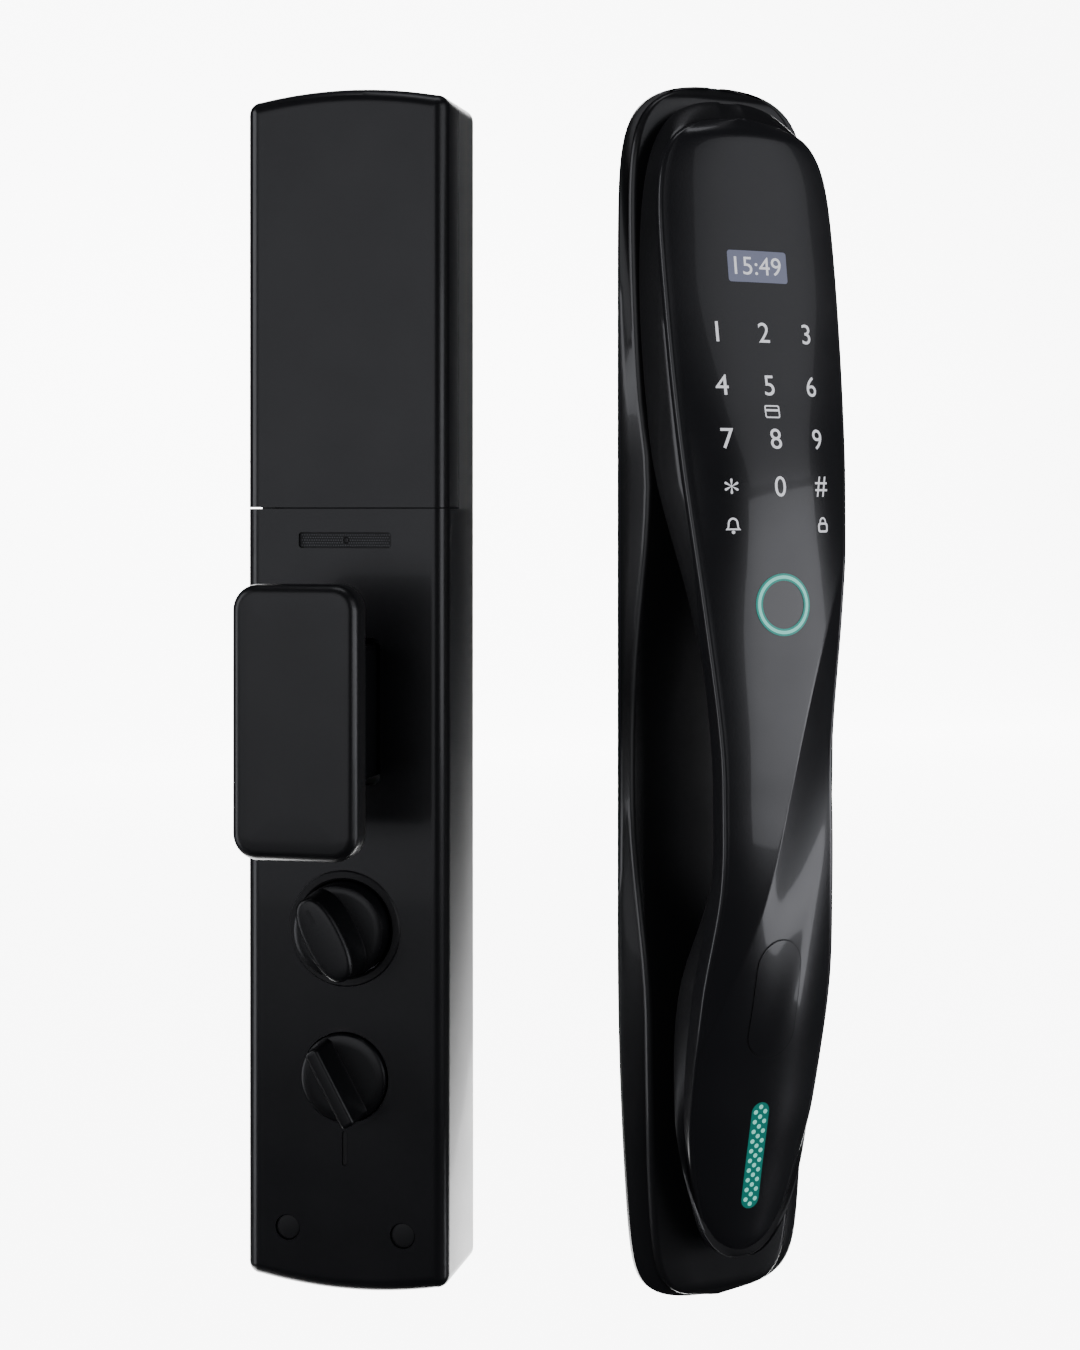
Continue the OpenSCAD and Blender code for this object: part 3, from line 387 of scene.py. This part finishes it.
def buildHandleShell():
    # The rear edge of the shell reaches higher than the glossy front
    bm = bmesh.new()
    rings = []
    for u in endSteps(96):
        z = handleMid + u * (handleHalf - 0.05)
        rear = outdoor["halfWidth"] * profileAt(2, z) * endRound(u * 0.9998, 14)
        front = handleHalfWidth(0, z) - 0.15
        back = profileAt(4, z) * outdoor["reach"]
        lift = outdoor["shellRise"] * smooth(z, handleTop - 60, handleTop)
        edgeFront = max(frontDepth(front, z) - 1.4, back + 2)
        r = min(outdoor["shellEdge"], rear * 0.4)
        depth = edgeFront - back
        side = [(0, back, 1), (rear * 0.55, back + 0.2, 1), (rear - 2.2 * r, back + 0.5 * r, 1),
                (rear - 0.7 * r, back + 0.9 * r, 1), (rear, back + 2 * r, 1)]
        side += [(rear + (front - rear) * t ** 1.4, back + 2 * r + (depth - 2 * r) * t, 1 - t ** 1.3)
                 for t in (0.15, 0.3, 0.45, 0.6, 0.8, 0.94)]
        side += [(front - 0.6, edgeFront, 0), (front * 0.6, edgeFront + 0.2, 0)]
        ring = side + [(-x, y, k) for x, y, k in reversed(side[1:])]
        rings.append([Vector((x, -y, z + lift * k)) for x, y, k in ring])
    loft(bm, rings)
    finishPiece("handleShell", bm, "outdoor_handle", "black_cast", replaced=("handle_shell",))


def buildHandleFront():
    # One column of points follows the crease, so that its line stays crisp
    bm = bmesh.new()
    rings = []
    across = 34
    for u in endSteps(150, 2.1):
        z = handleMid + u * (handleHalf - 0.02)
        half = handleHalfWidth(0, z)
        r = min(outdoor["frontEdge"], half * 0.45)
        flat = half - r
        fold = clamp(creaseAt(z) * half, -flat * 0.97, flat * 0.97)
        left = [(-half, frontDepth(half, z) - r - 1.0)]
        left += [(-flat - r * math.cos(t), frontDepth(-flat, z) - r + r * math.sin(t))
                 for t in (math.radians(a) for a in (0, 20, 40, 60, 78))]
        places = [-flat + (fold + flat) * i / across for i in range(across)]
        places += [fold + (flat - fold) * i / across for i in range(across + 1)]
        middle = [(x, frontDepth(x, z)) for x in places]
        right = [(flat + r * math.cos(t), frontDepth(flat, z) - r + r * math.sin(t))
                 for t in (math.radians(a) for a in (78, 60, 40, 20, 0))]
        right.append((half, frontDepth(half, z) - r - 1.0))
        back = [(flat * 0.9, frontDepth(half, z) - r - 1.4), (-flat * 0.9, frontDepth(half, z) - r - 1.4)]
        rings.append([Vector((x, -y, z)) for x, y in left + middle + right + back])
    loft(bm, rings)
    finishPiece("handleFront", bm, "outdoor_handle", "black_gloss", replaced=("handle_cover",), sharp=24)


buildBase()
buildHandleShell()
buildHandleFront()
print("outdoor shells made")


def layOnFront(bm, lift):
    # Cuts a flat shape into a fine grid and bends it over the curved front
    for axis, normal in ((0, (1, 0, 0)), (2, (0, 0, 1))):
        low = min(v.co[axis] for v in bm.verts)
        high = max(v.co[axis] for v in bm.verts)
        for i in range(math.floor(low / 1.5) + 1, math.ceil(high / 1.5)):
            at = tuple(i * 1.5 * n for n in normal)
            bmesh.ops.bisect_plane(bm, geom=bm.verts[:] + bm.edges[:] + bm.faces[:], dist=1e-5,
                                   plane_co=at, plane_no=normal)
    for v in bm.verts:
        v.co.y -= frontDepth(v.co.x, v.co.z) + lift


def frontShape(name, slotName, lift, loops, replaced=(), thick=0.0, material=None, body="outdoor_handle"):
    # Shape that follows the curved front; loops are an outline, then its holes
    bm = bmesh.new()
    made = [addLoop(bm, [Vector((x, 0, z)) for x, z in loop]) for loop in loops]
    bmesh.ops.triangle_fill(bm, use_beauty=True, edges=[e for loop in made for e in loop])
    if thick:
        bmesh.ops.extrude_face_region(bm, geom=list(bm.faces))
        bm.verts.ensure_lookup_table()
        for v in bm.verts[len(bm.verts) // 2:]:
            v.co.y = -thick
    layOnFront(bm, lift)
    finishPiece(name, bm, body, slotName, material, replaced)


def frontText(name, text, x, z, height, lift=0.07, widen=1.0):
    curve = bpy.data.curves.new("words", "FONT")
    curve.body = text
    curve.resolution_u = 5
    words = addObject("words", curve)
    bpy.context.view_layer.update()
    flat = bpy.data.meshes.new_from_object(words.evaluated_get(bpy.context.evaluated_depsgraph_get()))
    bm = bmesh.new()
    bm.from_mesh(flat)
    bpy.data.objects.remove(words)
    bpy.data.curves.remove(curve)
    bpy.data.meshes.remove(flat)
    low = [min(v.co[i] for v in bm.verts) for i in (0, 1)]
    high = [max(v.co[i] for v in bm.verts) for i in (0, 1)]
    grow = height / (high[1] - low[1])
    for v in bm.verts:
        v.co = Vector(((v.co.x - (low[0] + high[0]) / 2) * grow * widen + x, 0,
                       (v.co.y - (low[1] + high[1]) / 2) * grow + z))
    layOnFront(bm, lift)
    finishPiece(name, bm, "outdoor_handle", "display_glass", legendGlow)


def ovalPoints(z, width, height, n=24):
    r = width / 2
    spread = (height - width) / 2
    angles = [math.pi * i / n for i in range(n + 1)]
    points = [(r * math.cos(t), z + spread + r * math.sin(t)) for t in angles]
    for i in range(1, 8):
        points.append((-r, z + spread - 2 * spread * i / 8))
    points += [(-r * math.cos(t), z - spread - r * math.sin(t)) for t in angles]
    for i in range(1, 8):
        points.append((r, z - spread + 2 * spread * i / 8))
    return points


keypad = {
    "columns": (-17.0, 0.0, 17.0),
    "rows": (119.5, 102.0, 84.5, 69.0),
    "legendHeight": 6.6,
    "cardDrop": 8.6,        # from the second row down to the card icon
    "iconRow": 56.5,
    "displayZ": 141.45,
    "displaySize": (22.5, 10.5),
    "clockHeight": 6.0,
    "fingerZ": 30.75,
    "fingerRadius": 10.1,
    "fingerBand": 2.3,
    "fingerGlow": 0.62,     # from the ring's edges to its bright core
}


def icon(name, *loops, lift=0.07):
    frontShape(name, "display_glass", lift, loops, material=legendGlow)


def halfRound(x, z, width, height, side=1):
    angles = (math.pi * i / 12 for i in range(13))
    return [(x + side * width * math.cos(t), z + height * math.sin(t)) for t in angles]


def buildKeypad():
    w, h = keypad["displaySize"]
    frontShape("display", "display_glass", 0.05, [roundedPoints(0, keypad["displayZ"], w, h, 1.0)],
               ("display_window",))
    frontText("clock", "15:49", 0, keypad["displayZ"] + 0.2, keypad["clockHeight"], 0.12, 1.05)
    texts = (("1", "2", "3"), ("4", "5", "6"), ("7", "8", "9"), ("*", "0", "#"))
    for z, line in zip(keypad["rows"], texts):
        for x, text in zip(keypad["columns"], line):
            size = keypad["legendHeight"] * (0.75 if text == "*" else 1.0)
            title = {"*": "Star", "#": "Hash"}.get(text, text)
            frontText("legend" + title, text, x, z, size)
    z = keypad["rows"][1] - keypad["cardDrop"]
    icon("cardIcon", roundedPoints(0, z, 5.6, 4.2, 0.7, 4), roundedPoints(0, z, 4.7, 3.3, 0.4, 4))
    icon("cardStripe", roundedPoints(0, z + 0.45, 4.8, 0.7, 0.1, 2), lift=0.08)
    z = keypad["iconRow"]
    x = keypad["columns"][0]
    outer = halfRound(x, z + 0.5, 1.7, 1.9)
    outer += [(x - 1.8, z - 0.7), (x - 2.5, z - 1.6), (x + 2.5, z - 1.6), (x + 1.8, z - 0.7)]
    inner = halfRound(x, z + 0.45, 1.15, 1.35)
    inner += [(x - 1.3, z - 0.7), (x - 1.5, z - 1.1), (x + 1.5, z - 1.1), (x + 1.3, z - 0.7)]
    icon("bellIcon", outer, inner)
    icon("bellClapper", circlePoints(x, z - 2.3, 0.55, 14))
    x = keypad["columns"][2]
    icon("padlockBody", roundedPoints(x, z - 0.9, 4.4, 3.2, 0.9, 4),
         roundedPoints(x, z - 0.9, 3.0, 1.9, 0.5, 4))
    arch = halfRound(x, z + 0.9, 1.5, 1.6) + [(x - 1.5, z + 0.6), (x - 0.95, z + 0.6)]
    arch += halfRound(x, z + 0.9, 0.95, 1.05, -1) + [(x + 0.95, z + 0.6), (x + 1.5, z + 0.6)]
    icon("padlockBow", arch)


def buildReader():
    z = keypad["fingerZ"]
    r = keypad["fingerRadius"]
    band = keypad["fingerBand"]
    glow = keypad["fingerGlow"]
    frontShape("fingerPad", "sensor_glass", 0.04, [circlePoints(0, z, r - band + 0.02, 64)],
               ("finger_sensor",))
    frontShape("fingerRing", "ring_light", 0.06,
               [circlePoints(0, z, r, 72), circlePoints(0, z, r - band, 72)], ("finger_ring",), thick=0.18)
    frontShape("fingerRingCore", "ring_light", 0.27,
               [circlePoints(0, z, r - glow, 72), circlePoints(0, z, r - band + glow, 72)], material=ringCore)


keyCover = {"z": -97.785, "size": (17.5, 39.5), "groove": 0.45, "proud": 0.25}


def buildKeyCover():
    z = keyCover["z"]
    w, h = keyCover["size"]
    g = keyCover["groove"]
    frontShape("keyCoverGroove", "black_trim", 0.03,
               [ovalPoints(z, w + 2 * g, h + 2 * g), ovalPoints(z, w - 0.4, h - 0.4)])
    frontShape("keyCover", "black_gloss", 0.02, [ovalPoints(z, w, h)], ("key_cover",),
               thick=keyCover["proud"], body="key_cover")


lightStrip = {
    "z": -151.7,
    "size": (6.6, 37.0),
    "rows": 21,
    "pitch": 1.78,
    "rowShare": 0.95,       # height of a row in parts of the pitch
    "dotRadius": 0.78,
}


def buildLightStrip():
    w, h = lightStrip["size"]
    z = lightStrip["z"]
    pitch = lightStrip["pitch"]
    rows = lightStrip["rows"]
    frontShape("stripPlate", "strip_light", 0.04, [ovalPoints(z, w, h, 12)], ("light_strip",))
    bm = bmesh.new()
    for row in range(rows):
        at = z + (row - rows // 2) * pitch * lightStrip["rowShare"]
        for x in ((-pitch, pitch) if row % 2 else (0.0,)):
            points = circlePoints(x, at, lightStrip["dotRadius"], 14)
            loop = addLoop(bm, [frontPoint(u, v, 0.09) for u, v in points])
            bmesh.ops.triangle_fill(bm, use_beauty=True, edges=loop)
    finishPiece("stripDots", bm, "outdoor_handle", "strip_light", dotGlow)


buildKeypad()
buildReader()
buildKeyCover()
buildLightStrip()
print("keypad, reader and lights made")


def fillBetween(bm, loops):
    bmesh.ops.triangle_fill(bm, use_beauty=True, edges=[e for loop in loops for e in loop])


def roundedRise(outline, start, end, edge, steps=6):
    # Outlines that climb to the end depth and turn in over a rounded edge
    rise = [atDepth(outline(0), start), atDepth(outline(0), end - edge)]
    for i in range(1, steps + 1):
        t = math.radians(90 * i / steps)
        rise.append(atDepth(outline(edge * (1 - math.cos(t))), end - edge + edge * math.sin(t)))
    return rise


def hollowShell(bm, outline, back, front, edge, wall, holes=()):
    rise = roundedRise(outline, back, front, edge) + [atDepth(outline(edge + 0.8), front)]
    outer = loft(bm, rise, False, False)
    inner = loft(bm, [atDepth(outline(wall), back), atDepth(outline(wall), front - edge),
                      atDepth(outline(edge), front - wall)], False, False)
    bmesh.ops.bridge_loops(bm, edges=outer[0] + inner[0])
    frontHoles = [addLoop(bm, atDepth(hole, front)) for hole in holes]
    backHoles = [addLoop(bm, atDepth(hole, front - wall)) for hole in holes]
    fillBetween(bm, [outer[-1]] + frontHoles)
    fillBetween(bm, [inner[-1]] + backHoles)
    for a, b in zip(frontHoles, backHoles):
        bmesh.ops.bridge_loops(bm, edges=a + b)


def keepPart(bm, height, keepAbove):
    cut = bmesh.ops.bisect_plane(bm, geom=bm.verts[:] + bm.edges[:] + bm.faces[:], dist=1e-4,
                                 plane_co=(0, 0, height), plane_no=(0, 0, 1),
                                 clear_inner=keepAbove, clear_outer=not keepAbove)
    edges = [g for g in cut["geom_cut"] if isinstance(g, bmesh.types.BMEdge)]
    bmesh.ops.triangle_fill(bm, use_beauty=True, edges=edges)


def indoorPiece(name, bm, body, slotName, material=None, replaced=(), sharp=32):
    finishPiece(name, bm, body, slotName, material, replaced, indoorPlace, sharp)


def revolved(bm, x, z, profile, closed=False, n=64):
    rings = [atDepth(circlePoints(x, z, r, n), d) for r, d in profile]
    loops = loft(bm, rings, not closed, not closed)
    if closed:
        bmesh.ops.bridge_loops(bm, edges=loops[0] + loops[-1])


def capsule(x, z, w, h, r, n=8):
    return lambda inset: roundedPoints(x, z, w - 2 * inset, h - 2 * inset, max(0.2, r - inset), n)


def leaned(points, z):
    a = math.radians(indoor["lean"])
    return [(x * math.cos(a) - (v - z) * math.sin(a), z + x * math.sin(a) + (v - z) * math.cos(a))
            for x, v in points]


housing = {
    "back": 1.0,
    "edge": 5.0,            # round along the front edges
    "wall": 2.4,
    "seam": 61.91,
    "seamGap": 0.15,
    "seamWall": 2.2,
    "bayDepth": 15.5,
}
batteryCover = {"depth": 16.0, "wall": 1.6, "gap": 0.3}
slot = {
    "z": 51.045,
    "size": (33.0, 5.4),
    "sunk": 1.0,
    "threads": (37, 5),
    "threadStep": (0.86, 0.9),
    "threadRadius": 0.27,
    "eyelet": 0.75,
}
paddle = {
    "z": -6.56,
    "size": (42.4, 88.4, 12.0),
    "gap": 41.0,
    "corner": 8.5,
    "edge": 3.4,
    "neck": (22.4, 44.4),
    "flare": (26.0, 50.0),
    "neckHole": (25.0, 50.0),
}
thumbTurn = {
    "z": -80.975,
    "ringRadius": 19.8,
    "radius": 16.0,
    "rise": 8.0,
    "gripWidth": 6.7,       # half-width of the lens-shaped grip
    "gripRise": 23.0,
}
privacyKnob = {"z": -131.61, "radius": 15.0, "rise": 2.5, "barWidth": 5.0, "barRise": 17.0}
plugs = {"x": 20.5, "z": -184.09, "radius": 4.3}
mark = {"z": -155.8, "size": (1.9, 11.8)}


def markOutline():
    return capsule(0, mark["z"], *mark["size"], 0.9, 5)


def buildHousing():
    front = indoor["depth"]
    back = housing["back"]
    seamZ = housing["seam"]
    slotW, slotH = slot["size"]
    neckW, neckH = paddle["neckHole"]
    holes = [roundedPoints(0, paddle["z"] - 0.5, neckW, neckH, 3.0),
             circlePoints(0, thumbTurn["z"], thumbTurn["ringRadius"] + 0.05),
             circlePoints(0, privacyKnob["z"], privacyKnob["radius"] + 0.5),
             roundedPoints(0, slot["z"], slotW, slotH, 1.2),
             markOutline()(0)]
    holes += [circlePoints(s * plugs["x"], plugs["z"], plugs["radius"] + 0.1, 32) for s in (-1, 1)]
    bm = bmesh.new()
    hollowShell(bm, archedOutline, back, front, housing["edge"], housing["wall"], holes)
    keepPart(bm, seamZ - housing["seamGap"], False)
    indoorPiece("housing", bm, "door_units", "black_housing", replaced=("indoor_housing",))
    split = front - batteryCover["depth"]
    bm = bmesh.new()
    loft(bm, [atDepth(archedOutline(0), back), atDepth(archedOutline(0), split - 0.4),
              atDepth(archedOutline(0.4), split), atDepth(archedOutline(5.2), split),
              atDepth(archedOutline(5.2), housing["bayDepth"])])
    keepPart(bm, seamZ - housing["seamGap"], True)
    indoorPiece("housingTop", bm, "door_units", "black_housing")
    bm = bmesh.new()
    wall = capsule(0, seamZ - 1.4, indoor["width"] - 2 * 2.6, housing["seamWall"], 0.6, 3)
    loft(bm, [atDepth(wall(0), 3.0), atDepth(wall(0), front - 2.6)])
    indoorPiece("seamWall", bm, "door_units", "black_housing")


def buildBatteryCover():
    front = indoor["depth"]
    back = front - batteryCover["depth"] + batteryCover["gap"]
    bm = bmesh.new()
    hollowShell(bm, archedOutline, back, front, housing["edge"], batteryCover["wall"])
    keepPart(bm, housing["seam"] + batteryCover["gap"], True)
    indoorPiece("batteryCover", bm, "battery_cover", "black_housing", replaced=("battery_cover",))


def buildSpeakerSlot():
    w, h = slot["size"]
    depth = indoor["depth"] - slot["sunk"]
    outline = capsule(0, slot["z"], w - 0.1, h - 0.1, 1.2)
    bm = bmesh.new()
    loft(bm, [atDepth(outline(0), depth - 2.4), atDepth(outline(0), depth)])
    indoorPiece("slotInsert", bm, "door_units", "black_trim", replaced=("speaker_grille",))
    bm = bmesh.new()
    columns, rows = slot["threads"]
    stepX, stepZ = slot["threadStep"]
    for row in range(rows):
        for column in range(columns):
            x = (column - columns // 2) * stepX + (stepX / 2 if row % 2 else 0)
            z = slot["z"] + (row - rows // 2) * stepZ
            if abs(x) < w / 2 - 0.8 and math.hypot(x, z - slot["z"]) > 1.2:
                thread = circlePoints(x, z, slot["threadRadius"], 6)
                fillBetween(bm, [addLoop(bm, atDepth(thread, depth + 0.03))])
    indoorPiece("slotWeave", bm, "door_units", "black_trim", finishes["mesh_thread"])
    bm = bmesh.new()
    r = slot["eyelet"]
    revolved(bm, 0, slot["z"], [(r, depth - 1), (r, depth + 0.25), (r + 0.2, depth + 0.35),
                                (r + 0.4, depth + 0.25), (r + 0.4, depth - 1)], True, 24)
    indoorPiece("slotEyelet", bm, "door_units", "black_trim", finishes["black_knob"])


def buildPaddle():
    w, h, t = paddle["size"]
    z = paddle["z"]
    outline = capsule(0, z, w, h, paddle["corner"], 10)
    back = indoor["depth"] + paddle["gap"]
    front = back + t - 0.7
    edge = paddle["edge"]
    bm = bmesh.new()
    rings = [atDepth(outline(1.6), back), atDepth(outline(0.5), back + 0.5),
             atDepth(outline(0), back + 1.8)]
    rings += roundedRise(outline, back + 2.5, front, edge)[1:]
    for inset, rise in ((edge + 3, 0.10), (edge + 7, 0.18), (edge + 11, 0.22)):
        rings.append(atDepth(outline(inset), front + rise))
    loft(bm, rings)
    indoorPiece("paddle", bm, "inside_paddle", "black_housing", finishes["black_paddle"],
                ("paddle_cover",), 40)
    neck = capsule(0, z, *paddle["neck"], 2.5)
    flare = capsule(0, z, *paddle["flare"], 4.5)
    bm = bmesh.new()
    loft(bm, [atDepth(neck(0), indoor["depth"] - 4), atDepth(neck(0), back - 7),
              atDepth(neck(-0.5), back - 4), atDepth(flare(0.2), back - 1.5),
              atDepth(flare(-1.5), back + 0.6)])
    indoorPiece("paddleNeck", bm, "inside_paddle", "black_housing")


def buildThumbTurn():
    z = thumbTurn["z"]
    r = thumbTurn["radius"]
    outer = thumbTurn["ringRadius"]
    front = indoor["depth"]
    discFront = front + thumbTurn["rise"]
    gripFront = front + thumbTurn["gripRise"]
    bm = bmesh.new()
    revolved(bm, 0, z, [(outer, front - 3), (outer, front + 0.1), (outer - 0.5, front + 0.6),
                        (r + 1.3, front + 0.6), (r + 0.7, front + 0.2), (r + 0.5, front - 0.4),
                        (r + 0.5, front - 3)], True)
    indoorPiece("turnRing", bm, "door_units", "black_trim", replaced=("turn_ring",))
    bm = bmesh.new()
    revolved(bm, 0, z, [(r, front - 5), (r, discFront - 1.6), (r - 0.5, discFront - 0.5),
                        (r - 1.6, discFront), (r - 3, discFront)])
    indoorPiece("turnDisc", bm, "thumb_turn", "black_knob", replaced=("turn_knob",))

    def lens(inset):
        points = []
        for i in range(56):
            t = 2 * math.pi * i / 56
            c, s = math.cos(t), math.sin(t)
            points.append(((thumbTurn["gripWidth"] - inset) * math.copysign(abs(c) ** 0.8, c),
                           z + (r - 0.9 - inset) * math.copysign(abs(s) ** 0.86, s)))
        return leaned(points, z)

    bm = bmesh.new()
    rings = [atDepth(lens(-0.6), discFront - 0.4), atDepth(lens(0), discFront + 0.6)]
    rings += roundedRise(lens, discFront + 1, gripFront, 1.8, 5)[1:]
    rings.append(atDepth(lens(3.0), gripFront + 0.15))
    loft(bm, rings)
    indoorPiece("turnGrip", bm, "thumb_turn", "black_knob", sharp=40)
    bm = bmesh.new()
    groove = leaned(roundedPoints(0, z + 8.6, 1.3, 5.4, 0.6, 4), z)
    loft(bm, [atDepth(groove, gripFront - 0.1), atDepth(groove, gripFront + 0.22)])
    indoorPiece("turnMark", bm, "thumb_turn", "black_trim")


def buildPrivacyKnob():
    z = privacyKnob["z"]
    r = privacyKnob["radius"]
    front = indoor["depth"]
    discFront = front + privacyKnob["rise"]
    bm = bmesh.new()
    revolved(bm, 0, z, [(r, front - 5), (r, discFront - 0.9), (r - 0.4, discFront - 0.3),
                        (r - 1.1, discFront), (r - 4, discFront)])
    indoorPiece("privacyDisc", bm, "privacy_turn", "black_knob", replaced=("privacy_knob",))

    def bar(inset):
        width, length = privacyKnob["barWidth"] - 2 * inset, 2 * (r - 0.9 - inset)
        return leaned(roundedPoints(0, z, width, length, max(0.25, 1.6 - inset), 6), z)

    bm = bmesh.new()
    rings = [atDepth(bar(-0.5), discFront - 0.3), atDepth(bar(0), discFront + 0.5)]
    rings += roundedRise(bar, discFront + 0.9, front + privacyKnob["barRise"], 1.2, 5)[1:]
    loft(bm, rings)
    indoorPiece("privacyBar", bm, "privacy_turn", "black_knob", sharp=40)


def buildSmallParts():
    front = indoor["depth"]
    r = plugs["radius"]
    bm = bmesh.new()
    for s in (-1, 1):
        profile = [(r, front - 5), (r, front - 0.9), (r - 0.3, front - 0.6), (r - 1.3, front - 0.45)]
        revolved(bm, s * plugs["x"], plugs["z"], profile, False, 36)
    indoorPiece("screwPlugs", bm, "door_units", "black_trim", replaced=("screw_plugs",))
    outline = markOutline()
    bm = bmesh.new()
    loft(bm, [atDepth(outline(0), front - 2.3), atDepth(outline(0), front - 0.5),
              atDepth(outline(0.2), front - 0.3)])
    indoorPiece("positionMark", bm, "door_units", "black_trim", replaced=("position_mark",))


buildHousing()
buildBatteryCover()
buildSpeakerSlot()
buildPaddle()
buildThumbTurn()
buildPrivacyKnob()
buildSmallParts()
print("indoor unit made")


stage = {
    "height": -0.40,        # metres, as all values of the stage
    "near": 0.18,
    "far": 3.2,
    "bend": 0.8,            # radius from floor to backdrop
    "top": 2.4,
    "left": (-0.34, 0.2),   # edge at y = 0, and how much it moves for each metre of y
    "right": (0.24, 0.83),
    "glow": 8.0,
}


def buildStage():
    bm = bmesh.new()
    low, far, bend = stage["height"], stage["far"], stage["bend"]
    section = [Vector((0, stage["near"], low)), Vector((0, far, low))]
    section += [Vector((0, far + bend * math.sin(t), low + bend * (1 - math.cos(t))))
                for t in (math.radians(a) for a in range(10, 91, 10))]
    section.append(Vector((0, far + bend, stage["top"])))
    left, right = (addLoop(bm, [p + Vector((at + slope * p.y, 0, 0)) for p in section], False)
                   for at, slope in (stage["left"], stage["right"]))
    bmesh.ops.bridge_loops(bm, edges=left + right)
    bmesh.ops.recalc_face_normals(bm, faces=bm.faces)
    for face in bm.faces:
        face.smooth = True
    mesh = bpy.data.meshes.new("floor")
    bm.to_mesh(mesh)
    bm.free()
    floor = addObject("floor", mesh)
    material, _, shader = startMaterial("paleFloor", (0.92, 0.92, 0.92), 0.9)
    shader.inputs["Emission Color"].default_value = (1, 1, 1, 1)
    shader.inputs["Emission Strength"].default_value = stage["glow"]
    mesh.materials.append(material)


def addLight(name, place, target, size, power):
    light = bpy.data.lights.new(name, "AREA")
    light.shape = "RECTANGLE"
    light.size, light.size_y = size
    light.energy = power
    light.color = (0.93, 0.94, 1.0)
    lamp = addObject(name, light)
    lamp.location = place
    lamp.rotation_euler = (Vector(target) - Vector(place)).to_track_quat("-Z", "Y").to_euler()


# Name, place, point it faces, size and power
lights = (
    ("panelLow", (0.95, -1.45, 0.05), (0.0, 0, 0.0), (1.5, 0.62), 8),
    ("panelHigh", (0.95, -1.45, 0.80), (0.0, 0, 0.05), (1.5, 0.75), 3),
    ("gripStrip", (1.25, -0.80, -0.42), (0.0, 0, -0.1), (0.24, 0.85), 3),
    ("frontLeft", (-1.25, -0.95, 0.2), (-0.05, 0, 0.0), (1.2, 1.1), 4),
    ("leftStrip", (-1.4, 0.3, 0.1), (-0.05, 0, 0.0), (0.5, 1.6), 7),
    ("top", (-0.1, -0.1, 1.6), (-0.05, 0, 0), (1.0, 0.5), 3),
)


view = {
    "azimuth": -25.8,
    "distance": 0.781,
    "height": 0.062,
    "lens": 61.0,
    "shift": -0.1237,
    "outdoorRight": 0.0585,  # how far the outdoor unit stands to the right of the view's axis
}


def buildCamera():
    a = math.radians(view["azimuth"])
    back = Vector((math.sin(a), -math.cos(a), 0))
    right = Vector((math.cos(a), math.sin(a), 0))
    cameraData = bpy.data.cameras.new("camera")
    camera = addObject("camera", cameraData)
    camera.location = -right * view["outdoorRight"] + back * view["distance"] + Vector((0, 0, view["height"]))
    camera.rotation_euler = (-back).to_track_quat("-Z", "Y").to_euler()
    cameraData.lens = view["lens"]
    cameraData.sensor_width = 36
    cameraData.shift_y = view["shift"]
    bpy.context.scene.camera = camera


buildStage()
world = bpy.data.worlds.new("studio")
world.use_nodes = True
world.node_tree.nodes["Background"].inputs["Color"].default_value = (0.9, 0.92, 1.0, 1)
world.node_tree.nodes["Background"].inputs["Strength"].default_value = 0.03
bpy.context.scene.world = world
for entry in lights:
    addLight(*entry)
buildCamera()
print("stage, lights and camera made")
